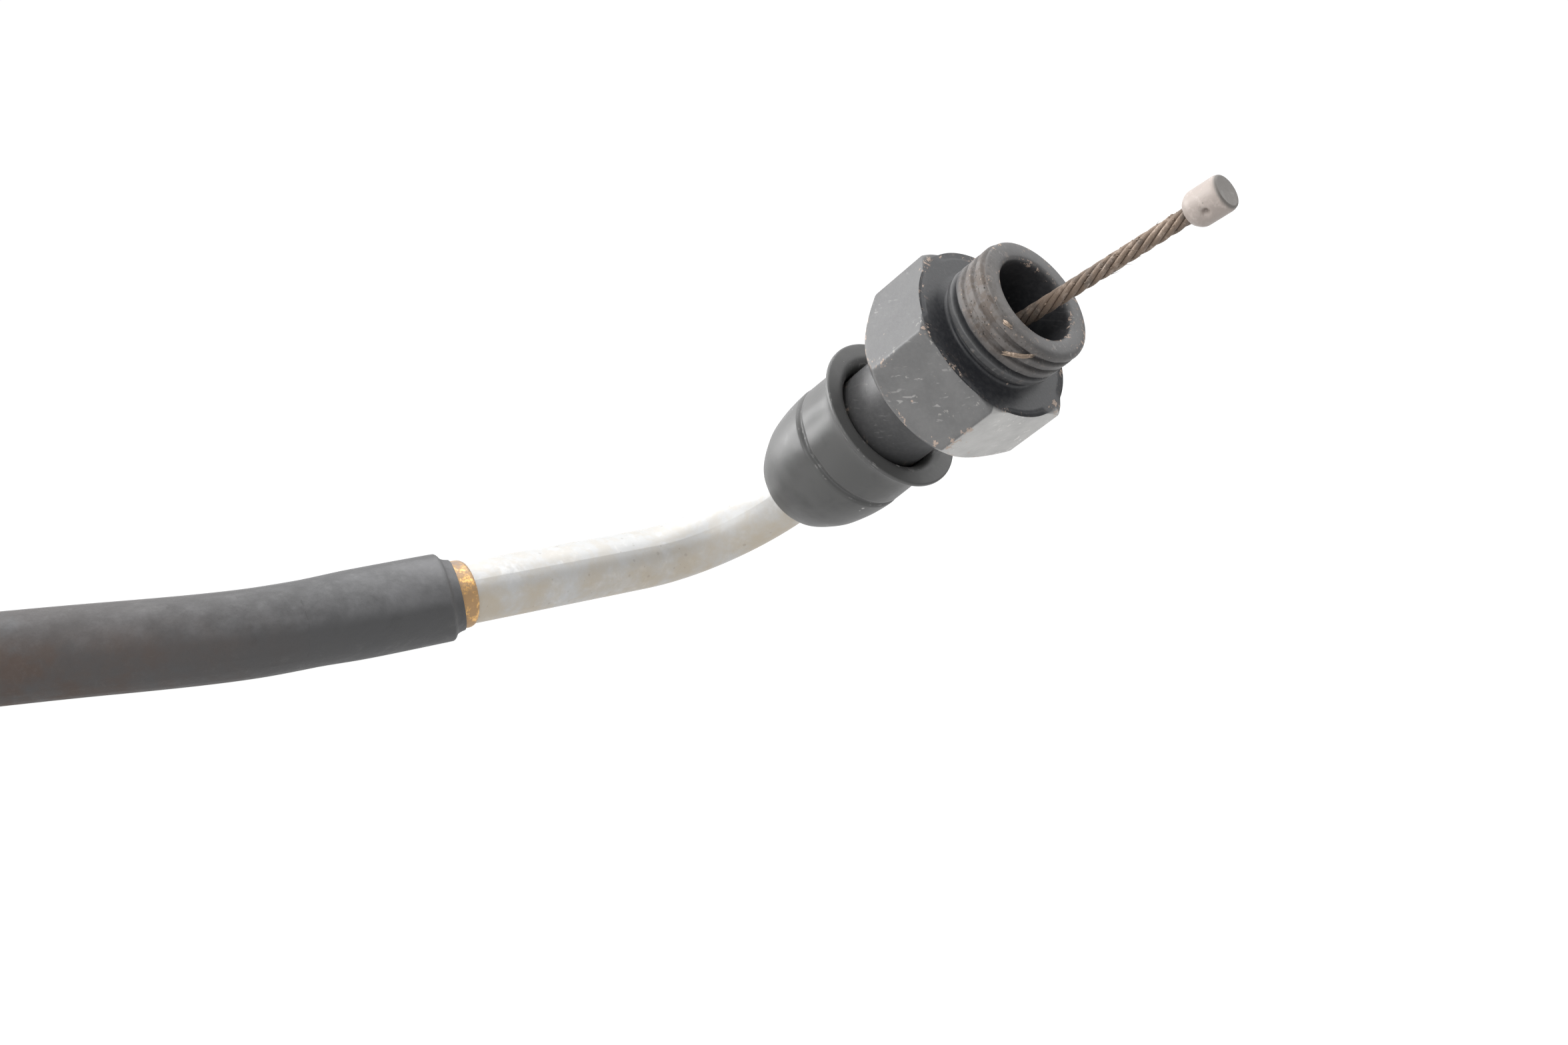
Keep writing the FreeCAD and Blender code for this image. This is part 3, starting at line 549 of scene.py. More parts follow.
@shared(Side=(0.0, 0.0, 1.0), Reach=-0.1, Scale=250.0, Amount=0.5)
def side_dust_and_painted_light(build, given):
    """Dust on one side of a piece, broken up by noise; on some pieces the same mask paints light
    and shade instead.

    Side is the way that it faces, and Reach how far round the piece it goes.
    """
    turned_to = build.spread(build.facing("Normal", given["Side"]), given["Reach"], 0.93)
    patchy = build.noise(given["Place"], given["Scale"], 6.0, 0.65)
    patchy = build.spread(patchy, 0.3, 0.75)
    dust = build.times(turned_to, patchy)
    return build.times(dust, given["Amount"], clamp=True)


def rgb(*values):
    """Colour from its three parts."""
    return (*values, 1.0)


class Finish(Tree):
    """One material with a Principled shader."""

    def __init__(self, name, metallic=0.0, roughness=0.5, specular=0.5):
        self.material = bpy.data.materials.new(name)
        self.material.use_nodes = True
        super().__init__(self.material.node_tree)
        self.shader = self.tree.nodes["Principled BSDF"]
        self.fill(self.shader, metallic=metallic, roughness=roughness)
        self.shader.inputs["Specular IOR Level"].default_value = specular
        self.here = self.place()

    def colour(self, value):
        self.fill(self.shader, base_color=value)

    def roughness(self, value):
        self.fill(self.shader, roughness=value)

    def layer(self, base, mask, share, colour):
        """A colour laid over the base by a share of the mask."""
        return self.mix(self.times(mask, share), base, colour)

    def patches(self, scale, cover, softness=0.12):
        """Blotches at the piece's own coordinates, and likewise below."""
        return self.group("blotches", place=self.here, scale=scale, cover=cover, softness=softness)

    def specks(self, scale, cover):
        return self.group("specks", place=self.here, scale=scale, cover=cover)

    def worn(self, scale, amount):
        return self.group("edge_wear", place=self.here, scale=scale, amount=amount)

    # Side mask: real dust on some pieces, painted light and shade on others.
    def dust(self, side, scale, amount, reach=-0.1):
        values = {"side": side, "reach": reach, "scale": scale, "amount": amount}
        return self.group("side_dust_and_painted_light", place=self.here, **values)

    def relief(self, height, depth, strength=1.0):
        """Bump of this depth in metres."""
        bump = self.filled("ShaderNodeBump", strength=strength, distance=depth, height=height)
        self.fill(self.shader, normal=bump.outputs["Normal"])


def wear(piece, finish):
    """Give a piece one finish."""
    piece.data.materials.clear()
    piece.data.materials.append(finish_of(finish))


def dress_node(name, finish):
    """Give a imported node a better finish."""
    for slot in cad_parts[name].material_slots:
        slot.material = finish_of(finish)


def galvanised_finish(colours):
    """Silver plating, faintly mottled, with real stains and a painted warm shade on its underside.
    """
    look = Finish("galvanised steel", metallic=0.5, roughness=0.45)
    bloom = look.patches(170.0, 0.5, 0.22)
    mottle = look.patches(620.0, 0.5, 0.2)
    stain = look.patches(330.0, 0.36, 0.14)
    # Painted shade: the warm film on the downward-facing side stands in for the darker reflection
    # under the tube.
    film = look.dust((-0.1, -0.62, -0.78), 200.0, 1.6)
    pits = look.specks(1700.0, 0.1)
    base = look.layer(colours.plating, bloom, 0.85, colours.plating_dark)
    base = look.layer(base, mottle, 0.55, colours.plating_dark)
    base = look.layer(base, stain, 0.3, colours.plating_stain_and_under_shade)
    base = look.layer(base, film, 0.75, colours.plating_stain_and_under_shade)
    base = look.layer(base, pits, 0.3, (0.24, 0.21, 0.18))
    look.colour(base)
    look.roughness(look.spread(mottle, 0.0, 1.0, 0.33, 0.54))
    fine = look.noise(look.here, 2600.0, 4.0)
    height = look.plus(fine, look.times(mottle, 0.5))
    look.relief(height, 0.00003, 0.25)
    return look.material


def nut_finish(colours):
    """Black moulding with facets hazed partly for real and partly by painted light, a painted
    highlight on the thread's crests, grime in the thread and rubbed edges.
    """
    look = Finish("worn black moulding", roughness=0.42, specular=0.36)
    worn = look.worn(1900.0, 0.84)
    chips = look.attribute("chips")
    haze = look.attribute("haze")
    grime = look.attribute("grime")
    cloud = look.noise(look.here, 420.0, 5.0, 0.6)
    fine = look.noise(look.here, 2600.0, 4.0, 0.6)
    lines = look.stretched(look.here, (1.0, 0.12, 1.0), (0.5, 0.0, 0.2))
    scratched = look.group("scuffs", place=lines, scale=3000.0)
    patches = look.patches(1100.0, 0.55, 0.16)
    bits = look.specks(2100.0, 0.012)
    # The haze attribute carries real haze and also painted light on the facets and the thread's
    # crests.
    hazed = look.times(haze, look.spread(cloud, 0.25, 0.7, 0.78, 1.0))
    base = look.mix(hazed, colours.nut, colours.nut_haze_and_painted_light)
    base = look.mix(look.spread(fine, 0.35, 0.75, 0.0, 0.035), base, colours.nut_haze_and_painted_light)
    scratched = look.times(scratched, look.plus(0.05, haze), clamp=True)
    base = look.layer(base, scratched, 0.7, (0.62, 0.6, 0.58))
    chips = look.plus(chips, look.less(look.spread(fine, 0.46, 0.66), 1.05))
    chips = look.spread(chips, 0.0, 0.35)
    base = look.layer(base, chips, 0.6, (0.29, 0.278, 0.262))
    grimy = look.times(grime, look.spread(patches, 0.0, 1.0, 0.35, 1.0))
    base = look.mix(grimy, base, colours.grime)
    smeared = look.patches(700.0, 0.4, 0.12)
    smeared = look.times(grime, smeared)
    base = look.layer(base, smeared, 0.6, (0.15, 0.145, 0.142))
    pitted = look.specks(3300.0, 0.4)
    base = look.mix(look.times(pitted, grime), base, (0.012, 0.011, 0.01))
    crumbs = look.specks(4100.0, 0.16)
    base = look.mix(look.times(crumbs, grime), base, (0.3, 0.23, 0.185))
    base = look.layer(base, bits, 0.75, colours.rubbed)
    base = look.layer(base, worn, 0.85, colours.rubbed)
    look.colour(base)
    rough = look.plus(0.38, look.times(fine, 0.1))
    rough = look.plus(rough, look.times(grimy, 0.25))
    look.roughness(look.plus(rough, look.times(worn, 0.2), clamp=True))
    height = look.less(fine, look.times(scratched, 0.8))
    height = look.plus(height, look.times(worn, 1.2))
    height = look.plus(height, look.times(grimy, 0.9))
    look.relief(height, 0.00004, 0.45)
    return look.material


def boot_finish(colours):
    """Smooth satin rubber with a faint bloom and a few pale specks."""
    look = Finish("satin rubber", roughness=0.4, specular=0.42)
    bloom = look.patches(150.0, 0.5, 0.24)
    haze = look.patches(620.0, 0.45, 0.2)
    worn = look.worn(1500.0, 0.5)
    bits = look.specks(1500.0, 0.02)
    base = look.mix(bloom, colours.boot, colours.boot_haze)
    base = look.layer(base, haze, 0.3, colours.boot_haze)
    base = look.layer(base, worn, 0.2, colours.dust)
    base = look.layer(base, bits, 0.6, colours.dust)
    look.colour(base)
    look.roughness(look.spread(haze, 0.0, 1.0, 0.37, 0.44))
    look.relief(look.noise(look.here, 2400.0, 5.0, 0.6), 0.00003, 0.25)
    return look.material


def conduit_finish(colours):
    """Black jacket and sleeve with painted highlights on top, with brown dust low on the far
    stretch.
    """
    look = Finish("dusty black jacket", roughness=0.5, specular=0.62)
    parts = look.node("ShaderNodeSeparateXYZ")
    look.feed(parts.inputs[0], look.here)
    away = look.spread(parts.outputs["X"], -0.026, -0.062)
    stain = look.patches(170.0, 0.62, 0.2)
    bloom = look.patches(260.0, 0.5, 0.24)
    fine = look.patches(900.0, 0.45, 0.2)
    low = look.dust((-0.4, -0.7, -0.6), 300.0, 1.3)
    base = look.layer(colours.jacket, bloom, 0.7, colours.jacket_haze)
    base = look.layer(base, fine, 0.5, colours.jacket_haze)
    # Painted highlight: a grey layer on the upward-facing side stands in for the bright band of
    # light along the top.
    painted_top_highlight = look.dust((0.1, -0.7, 0.7), 420.0, 0.9, 0.72)
    base = look.layer(base, painted_top_highlight, 0.8, (0.1, 0.1, 0.104))
    # Painted highlight: a smooth pale patch on the sleeve's upper side stands in for the glossy
    # band of light on it.
    sleeve = look.spread(parts.outputs["X"], -0.034, -0.024)
    painted_sleeve_highlight = look.dust((0.1, -0.7, 0.7), 110.0, 0.9, 0.7)
    painted_sleeve_highlight = look.times(look.times(painted_sleeve_highlight, sleeve), 0.5)
    base = look.mix(painted_sleeve_highlight, base, (0.19, 0.19, 0.195))
    brown = look.times(look.times(away, stain), look.plus(0.34, low))
    base = look.mix(look.times(brown, 0.9, clamp=True), base, colours.jacket_stain)
    look.colour(base)
    rough = look.spread(fine, 0.0, 1.0, 0.36, 0.48)
    rough = look.plus(rough, look.times(brown, 0.25))
    look.roughness(look.plus(rough, look.times(bloom, 0.14), clamp=True))
    dents = look.times(look.noise(look.here, 330.0, 2.0), 3.0)
    height = look.plus(look.noise(look.here, 1100.0, 7.0, 0.7), dents)
    look.relief(height, 0.0001, 0.6)
    return look.material


def brass_finish(colours):
    """Gold-coloured plating, tan above and spotted with bright gold below."""
    look = Finish("dull brass", metallic=0.5, roughness=0.42)
    dull = look.patches(900.0, 0.5, 0.14)
    above = look.dust((-0.2, 0.1, 0.97), 900.0, 1.5)
    base = look.mix(dull, colours.brass, colours.brass_dull)
    base = look.mix(above, base, (0.27, 0.2, 0.15))
    look.colour(base)
    look.roughness(look.spread(dull, 0.0, 1.0, 0.26, 0.5))
    look.relief(look.noise(look.here, 3000.0, 4.0), 0.00004, 0.4)
    return look.material


def rope_finish(colours):
    """Grimy steel strands."""
    look = Finish("grimy strands", metallic=0.4, roughness=0.5)
    grime = look.patches(900.0, 0.5, 0.16)
    rust = look.patches(260.0, 0.42, 0.16)
    base = look.mix(grime, colours.rope, colours.rope_grime)
    base = look.layer(base, rust, 0.5, (0.22, 0.155, 0.11))
    look.colour(base)
    look.roughness(look.spread(grime, 0.0, 1.0, 0.36, 0.62))
    look.relief(look.noise(look.here, 6000.0, 3.0), 0.00003, 0.5)
    return look.material


def nipple_finish(colours):
    """Pale die-cast zinc with a greyed end face and a dull skin."""
    look = Finish("die cast zinc", metallic=0.1, roughness=0.45)
    grime = look.attribute("grime")
    dull = look.patches(900.0, 0.45, 0.2)
    cloud = look.patches(2200.0, 0.6, 0.2)
    pits = look.specks(3200.0, 0.08)
    base = look.layer(colours.nipple, dull, 0.6, colours.nipple_dull)
    dark = look.times(grime, look.spread(cloud, 0.0, 1.0, 0.65, 1.0))
    base = look.mix(dark, base, colours.nipple_grime)
    base = look.layer(base, pits, 0.4, colours.nipple_grime)
    look.colour(base)
    look.roughness(look.spread(dull, 0.0, 1.0, 0.34, 0.5))
    look.relief(look.noise(look.here, 3500.0, 5.0), 0.00005, 0.4)
    return look.material


def plated_finish():
    """Dull zinc plating of the far ferrule, grey in patches and rubbed on its edges."""
    look = Finish("dull plating", metallic=0.6, roughness=0.45)
    dull = look.patches(700.0, 0.5, 0.2)
    worn = look.worn(1500.0, 0.8)
    base = look.mix(dull, (0.33, 0.328, 0.325), (0.225, 0.22, 0.212))
    look.colour(look.layer(base, worn, 0.5, (0.5, 0.5, 0.5)))
    look.roughness(look.spread(dull, 0.0, 1.0, 0.38, 0.52))
    look.relief(look.noise(look.here, 2600.0, 4.0), 0.00003, 0.3)
    return look.material


def plain_black_finish():
    """Matt black plastic with a fine grain."""
    look = Finish("grained black plastic", roughness=0.55)
    film = look.patches(380.0, 0.4)
    look.colour(look.mix(film, (0.02, 0.02, 0.022), (0.045, 0.045, 0.048)))
    look.relief(look.noise(look.here, 4200.0, 3.0), 0.00004, 0.5)
    return look.material


def liner_finish():
    """Milky low-friction plastic, greyed by the wire."""
    look = Finish("milky liner", roughness=0.35)
    grey = look.patches(500.0, 0.4)
    look.colour(look.mix(grey, (0.75, 0.74, 0.7), (0.5, 0.49, 0.46)))
    return look.material


def fibre_finish():
    """Dry tan fibre that clings to the thread."""
    look = Finish("dry tan fibre", roughness=0.8, specular=0.2)
    patch = look.patches(2500.0, 0.5)
    look.colour(look.mix(patch, (0.42, 0.33, 0.26), (0.22, 0.17, 0.13)))
    return look.material


FINISHES = {
    "galvanised": lambda settings: galvanised_finish(settings.colours),
    "nut": lambda settings: nut_finish(settings.colours),
    "boot": lambda settings: boot_finish(settings.colours),
    "conduit": lambda settings: conduit_finish(settings.colours),
    "brass": lambda settings: brass_finish(settings.colours),
    "rope": lambda settings: rope_finish(settings.colours),
    "nipple": lambda settings: nipple_finish(settings.colours),
    "plated": lambda settings: plated_finish(),
    "plain_black": lambda settings: plain_black_finish(),
    "liner": lambda settings: liner_finish(),
    "fibre": lambda settings: fibre_finish(),
}
made_finishes = {}


def finish_of(name):
    """A material, built with the sidebar's colours when it is first asked for."""
    if name not in made_finishes:
        made_finishes[name] = FINISHES[name](bpy.context.scene.control_cable)
    return made_finishes[name]


# Settings


def length(name, default, description):
    """A length in the sidebar, in metres."""
    return bpy.props.FloatProperty(
        name=name, description=description, default=default, unit="LENGTH", precision=5
    )


def tint(name, default, description):
    """A colour in the sidebar."""
    return bpy.props.FloatVectorProperty(
        name=name, description=description, default=default, subtype="COLOR", min=0, max=1
    )


class CABLE_PG_colours(bpy.types.PropertyGroup):
    """Colours of the cable's finishes."""

    plating: tint("Plating", (0.63, 0.63, 0.635), "Bright part of the tube's plating")
    plating_dark: tint("Dull plating", (0.44, 0.442, 0.44), "Dull part of the plating")
    # Warm stain of the plating, also used as the painted shade on the tube's underside.
    plating_stain_and_under_shade: tint("Plating stain", (0.42, 0.365, 0.285), "Warm film on the plating")
    nut: tint("Nut", (0.017, 0.018, 0.021), "Moulding of the nut")
    # Colour of the nut's haze, also the painted light on its facets and thread crests.
    nut_haze_and_painted_light: tint("Nut haze", (0.40, 0.395, 0.385), "Hazed facets of the nut")
    grime: tint("Grime", (0.088, 0.070, 0.058), "Grime in the nut's thread")
    rubbed: tint("Rubbed edges", (0.36, 0.28, 0.23), "Rubbed edges and specks of the nut")
    boot: tint("Boot", (0.036, 0.036, 0.036), "Rubber of the boot")
    boot_haze: tint("Boot haze", (0.062, 0.062, 0.061), "Bloom on the boot")
    jacket: tint("Jacket", (0.014, 0.014, 0.0145), "Jacket of the conduit")
    jacket_haze: tint("Jacket haze", (0.046, 0.046, 0.048), "Hazed patches of the jacket")
    jacket_stain: tint("Jacket stain", (0.066, 0.048, 0.040), "Brown dust on the jacket")
    dust: tint("Dust", (0.42, 0.41, 0.4), "Specks on the rubber")
    brass: tint("Brass", (0.8, 0.46, 0.145), "Bright brass of the ferrule")
    brass_dull: tint("Dull brass", (0.36, 0.225, 0.11), "Dulled brass of the ferrule")
    rope: tint("Wire", (0.25, 0.21, 0.18), "Bright steel strands")
    rope_grime: tint("Wire grime", (0.10, 0.08, 0.066), "Grime between the strands")
    nipple: tint("Nipple", (0.345, 0.3, 0.272), "Cast zinc of the nipple")
    nipple_dull: tint("Dull zinc", (0.23, 0.197, 0.178), "Dulled zinc of the nipple")
    nipple_grime: tint("Zinc grime", (0.12, 0.11, 0.10), "Greyed end face of the nipple")


class CABLE_PG_nut(bpy.types.PropertyGroup):
    """Sizes of the threaded nut."""

    flats: length("Across flats", 0.016, "Spanner size of the hexagon")
    crest: length("Thread", 0.012, "Major diameter of the thread")
    pitch: length("Pitch", 0.00125, "Pitch of the thread")
    around: bpy.props.IntProperty(
        name="Facets", description="Steps round the nut's axis", default=360, min=48, max=720
    )


class CABLE_PG_rope(bpy.types.PropertyGroup):
    """Sizes of the stranded wire."""

    strands: bpy.props.IntProperty(
        name="Strands", description="Outer strands of the wire", default=6, min=3, max=12
    )
    width: length("Wire", 0.0015, "Diameter of the wire")
    lay: length("Lay", 0.0092, "Length in which a strand turns once round the wire")


class CABLE_PG_stage(bpy.types.PropertyGroup):
    """Light and floor."""

    sky: bpy.props.FloatProperty(
        name="Sky", description="Brightness of the even light", default=1.02, min=0, max=10
    )
    overhead: bpy.props.FloatProperty(
        name="Overhead light", description="Power of the overhead light", default=0.7, unit="POWER"
    )
    side: bpy.props.FloatProperty(
        name="Side light", description="Power of the side light", default=0.6, unit="POWER"
    )


class CABLE_PG_settings(bpy.types.PropertyGroup):
    """All settings of the cable."""

    colours: bpy.props.PointerProperty(type=CABLE_PG_colours, name="Colours")
    nut: bpy.props.PointerProperty(type=CABLE_PG_nut, name="Nut")
    rope: bpy.props.PointerProperty(type=CABLE_PG_rope, name="Wire")
    stage: bpy.props.PointerProperty(type=CABLE_PG_stage, name="Stage")


# Pieces


class CABLE_OT_stage(bpy.types.Operator):
    """Make the floor, the lights and the photograph's camera"""

    bl_idname = "cable.stage"
    bl_label = "Stage"

    def execute(self, context):
        settings = context.scene.control_cable.stage
        self.make_floor()
        self.make_sky(settings.sky)
        self.make_light("overhead light", (0.06, 0.16, 0.34), 0.34, settings.overhead)
        self.make_light("side light", (-0.3, -0.12, 0.22), 0.2, settings.side)
        self.make_camera(context)
        context.scene.view_settings.view_transform = "Standard"
        return {"FINISHED"}

    def make_floor(self):
        mesh = bpy.data.meshes.new("floor")
        corners = [(x * FLOOR_HALF, y * FLOOR_HALF, FLOOR_HEIGHT) for x, y in SQUARE]
        mesh.from_pydata(corners, [], [(0, 1, 2, 3)])
        floor = shown("floor", mesh)
        look = Finish("white table", roughness=0.7, specular=0.2)
        look.colour(rgb(0.02, 0.02, 0.02))
        look.shader.inputs["Emission Color"].default_value = rgb(1.0, 1.0, 1.0)
        look.shader.inputs["Emission Strength"].default_value = 1.0
        floor.data.materials.append(look.material)

    def make_sky(self, brightness):
        """Light tent: white to look at, bright behind and dim on the camera's side."""
        world = bpy.data.worlds.new("light tent")
        world.use_nodes = True
        build = Tree(world.node_tree)
        back = world.node_tree.nodes["Background"]
        light = self.sky_part(build, TENT_WAY, (-0.6, 0.7, 0.45, 1.85))
        light = build.times(light, self.sky_part(build, FRONT_WAY, (0.2, 0.95, 1.0, 0.5)))
        light = build.plus(light, self.sky_part(build, TOP_WAY, (0.78, 0.98, 0.0, 2.3)))
        light = build.plus(light, self.sky_part(build, KEY_WAY, (0.91, 0.98, 0.0, 9.0)))
        seen = build.node("ShaderNodeLightPath").outputs["Is Camera Ray"]
        build.feed(back.inputs["Color"], build.mix(seen, light, (1.0, 1.0, 1.0)))
        back.inputs["Strength"].default_value = brightness
        bpy.context.scene.world = world

    def sky_part(self, build, way, steps):
        """Brightness that changes with the angle to one direction."""
        return build.spread(build.facing("Generated", Vector(way).normalized()), *steps)

    def make_light(self, name, place, size, power):
        lamp = bpy.data.lights.new(name, "AREA")
        lamp.size = size
        lamp.energy = power
        holder = shown(name, lamp)
        holder.location = place
        aim = Vector((0, 0, 0.01)) - Vector(place)
        holder.rotation_euler = aim.to_track_quat("-Z", "Y").to_euler()

    def make_camera(self, context):
        lens = bpy.data.cameras.new("photograph camera")
        lens.lens = 50
        lens.sensor_width = 36
        lens.clip_start = 0.01
        lens.clip_end = 20
        camera = shown("photograph camera", lens)
        level = math.cos(CAMERA_DIP)
        ahead, across = level * math.cos(CAMERA_AZIMUTH), level * math.sin(CAMERA_AZIMUTH)
        forward = Vector((across, ahead, -math.sin(CAMERA_DIP)))
        camera.location = (CAMERA_PLACE + SHIFT) * MM
        camera.rotation_mode = "QUATERNION"
        camera.rotation_quaternion = forward.to_track_quat("-Z", "Y")
        context.scene.camera = camera


class CABLE_OT_conduit(bpy.types.Operator):
    """Lay the conduit from its sleeve to the coil and round it"""

    bl_idname = "cable.conduit"
    bl_label = "Conduit"

    def execute(self, context):
        points = [Vector(point) for point in CONDUIT_ROUTE]
        swell = 1 + (1 - math.cos(math.pi / 2 / COIL_POINTS)) / 4
        for step in range((COIL_IN + COIL_OUT) * COIL_POINTS + 1):
            last = (COIL_IN + COIL_OUT) * COIL_POINTS
            ease = min(1.0, step / 2, (last - step) / 2)
            points.append(coil_point(step / COIL_POINTS, 1 + (swell - 1) * ease))
        points.append(points[-1] + far_way() * FAR_RUN)
        curve = bpy.data.curves.new("conduit", "CURVE")
        curve.dimensions = "3D"
        line = curve.splines.new("NURBS")
        line.points.add(len(points) - 1)
        for control, point in zip(line.points, points):
            control.co = (*((point + SHIFT) * MM), 1.0)
        line.order_u = 3
        line.use_endpoint_u = True
        line.resolution_u = 10
        curve.bevel_depth = CONDUIT_RADIUS * MM
        curve.bevel_resolution = 8
        curve.use_fill_caps = True
        curve.materials.append(finish_of("conduit"))
        conduit = shown("conduit", curve)
        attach(conduit, "housing")
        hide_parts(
            "conduit_jacket",
            "conduit_winding",
            "conduit_liner",
            "inner_wire_run",
            "conduit_coil",
        )
        return {"FINISHED"}


class CABLE_OT_straps(bpy.types.Operator):
    """Make the straps that hold the coil"""

    bl_idname = "cable.straps"
    bl_label = "Coil Straps"

    def execute(self, context):
        bands = [self.band(angle) for angle in STRAP_ANGLES]
        straps = joined(bands, "coil_strap_bands")
        wear(straps, "plain_black")
        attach(straps, "housing")
        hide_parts("coil_straps")
        return {"FINISHED"}

    def band(self, degrees):
        """One flat band, a rounded loop round the turns that pass this angle."""
        centre, first = coil_centre()
        passed = ((first - math.radians(degrees)) % TURN) / (math.pi / 2)
        radii = []
        while passed <= COIL_IN + COIL_OUT:
            radii.append(coil_radius(passed))
            passed += 4
        reach = CONDUIT_RADIUS + STRAP_SIDE_GAP - STRAP_CORNER
        inner, outer = min(radii) - reach, max(radii) + reach
        low, high = STRAP_LOW + STRAP_CORNER, STRAP_HIGH - STRAP_CORNER
        centres = [(outer, high, 0), (inner, high, 90), (inner, low, 180), (outer, low, 270)]
        loop = []
        for x, z, start in centres:
            for step in range(9):
                angle = math.radians(start + 90 * step / 8)
                loop.append((x, z, math.cos(angle), math.sin(angle)))
        half = [(3.0, 0.08), (3.0, 0.36), (2.8, 0.44), (1.8, 0.4)]
        section = half + [(-across, lift) for across, lift in reversed(half)]
        section += [(-2.8, 0.0), (2.8, 0.0)]
        rings = []
        for x, z, out_x, out_z in loop:
            ring = []
            for across, lift in section:
                far = STRAP_CORNER + lift
                ring.append((x + out_x * far, across, z + out_z * far))
            rings.append(ring)
        turn = Matrix.Rotation(math.radians(degrees), 4, "Z")
        middle = Vector((centre.x, centre.y, 0)) + SHIFT
        edges = [[1.0 if abs(across) > 2.5 else 0.0 for across, lift in section]] * len(rings)
        return skin("band", rings, Matrix.Translation(middle) @ turn, True, edge=edges)


class CABLE_OT_far_end(bpy.types.Operator):
    """Make the fittings on the conduit's far end"""

    bl_idname = "cable.far_end"
    bl_label = "Far End"

    def execute(self, context):
        place = far_frame()
        outline = rounded(
            [
                (0.825, 0.0, 0.1), (3.7, 0.0, 0.2), (4.1, 0.5, 0.3), (4.1, 1.6, 0.3),
                (3.75, 2.0, 0.3), (3.75, 3.0, 0.3), (4.1, 3.4, 0.3), (4.1, 5.0, 0.3),
                (3.75, 5.4, 0.3), (3.75, 6.4, 0.3), (4.1, 6.8, 0.3), (4.1, 8.8, 0.3),
                (3.8, 9.0, 0.1), (3.4, 9.0, 0.15), (3.4, 20.5, 0.2), (3.1, 21.0, 0.2),
                (0.825, 21.0, 0.1),
            ]
        )
        ferrule = turned("far_ferrule_barrel", divided(outline, 1.2), place, 72)
        wear(ferrule, "plated")
        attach(ferrule, "housing")
        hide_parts("far_ferrule")
        rope = stranded_wire("far_wire_rope", 25.0)
        rope.data.transform(metre_place(place @ Matrix.Translation((0, 0, 7.0))))
        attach(rope, "far_pull")
        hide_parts("far_wire")
        across = Matrix.Rotation(math.pi / 2, 4, "Y")
        middle = place @ Matrix.Translation((0, 0, 29.5)) @ across
        barrel = rounded(
            [
                (0.0, -2.5, 0), (2.5, -2.5, 0.3), (2.5, -1.2, 0.1), (2.3, -1.2, 0.08),
                (2.3, 1.2, 0.08), (2.5, 1.2, 0.1), (2.5, 2.5, 0.3), (0.0, 2.5, 0),
            ],
            closed=False,
        )
        barrel = divided(barrel, 0.35, closed=False)[1:-1]
        nipple = turned("far_barrel_nipple", barrel, middle, 72, False)
        wear(nipple, "nipple")
        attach(nipple, "far_pull")
        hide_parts("far_nipple")
        return {"FINISHED"}


def set_back(r, z, angles, slant, full, none):
    """How far a slanted front on the leg is set back, full up to one height and then fading."""
    share = np.clip((none - z) / (none - full), 0, 1)
    return share * math.tan(math.radians(slant)) * r * np.cos(angles - math.radians(77.3))


class CABLE_OT_sleeve(bpy.types.Operator):
    """Make the black sleeve over the ferrule and the conduit's end"""

    bl_idname = "cable.sleeve"
    bl_label = "End Sleeve"

    def execute(self, context):
        outline = rounded(
            [
                (3.05, 20.8, 0), (3.2, 20.8, 0.1), (3.26, 21.2, 0.4), (3.42, 21.7, 0.4),
                (3.8, 21.98, 0.2), (3.94, 22.2, 0.12), (3.95, 22.9, 0),
            ],
            closed=False,
        )
        outline += smooth_line(
            [
                (3.95, 23.2), (3.95, 26.0), (3.93, 29.0), (3.89, 31.5), (3.83, 33.2),
                (3.78, 34.5), (3.75, 35.6), (3.72, 36.6), (3.66, 37.6),
            ]
        )
        outline += rounded([(3.5, 37.7, 0), (3.05, 37.7, 0)], closed=False)

        def uneven(r, z, angles):
            r = r + waves(angles, z, 0.02, 3) * (r > 3.4) * np.clip((35.0 - z) / 5, 0, 1)
            return r, z + set_back(r, z, angles, 24.0, 23.2, 28.0)

        sleeve = turned("end_sleeve_skin", divided(outline, 0.5), leg_frame(), 120, True, uneven)
        wear(sleeve, "conduit")
        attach(sleeve, "housing")
        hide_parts("end_sleeve")
        return {"FINISHED"}


class CABLE_OT_ferrule(bpy.types.Operator):
    """Make the brass ferrule whose lip shows in front of the sleeve"""

    bl_idname = "cable.ferrule"
    bl_label = "Crimped Ferrule"

    def execute(self, context):
        outline = rounded(
            [
                (2.82, 19.9, 0.1), (2.95, 19.9, 0.12), (3.05, 20.15, 0.15), (3.05, 21.0, 0.1),
                (3.02, 33.0, 0.05), (2.62, 33.0, 0.05), (2.62, 26.3, 0.05), (2.82, 26.2, 0.05),
            ]
        )

        def uneven(r, z, angles):
            r = r + waves(angles, z, 0.012, 8) * (r > 2.9)
            return r, z + set_back(r, z, angles, 10.0, 21.5, 25.0)

        ferrule = turned("brass_ferrule", divided(outline, 0.6), leg_frame(), 120, True, uneven)
        wear(ferrule, "brass")
        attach(ferrule, "housing")
        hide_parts("crimp_ferrule")
        return {"FINISHED"}


class CABLE_OT_tube(bpy.types.Operator):
    """Finish the guide tube and what is inside it"""

    bl_idname = "cable.tube"
    bl_label = "Guide Tube"

    def execute(self, context):
        for name, finish in (
            ("guide_tube", "galvanised"),
            ("tube_collar", "galvanised"),
            ("tube_liner", "liner"),
            ("mouth_bush", "plain_black"),
            ("inner_wire_bend", "rope"),
        ):
            dress_node(name, finish)
        return {"FINISHED"}


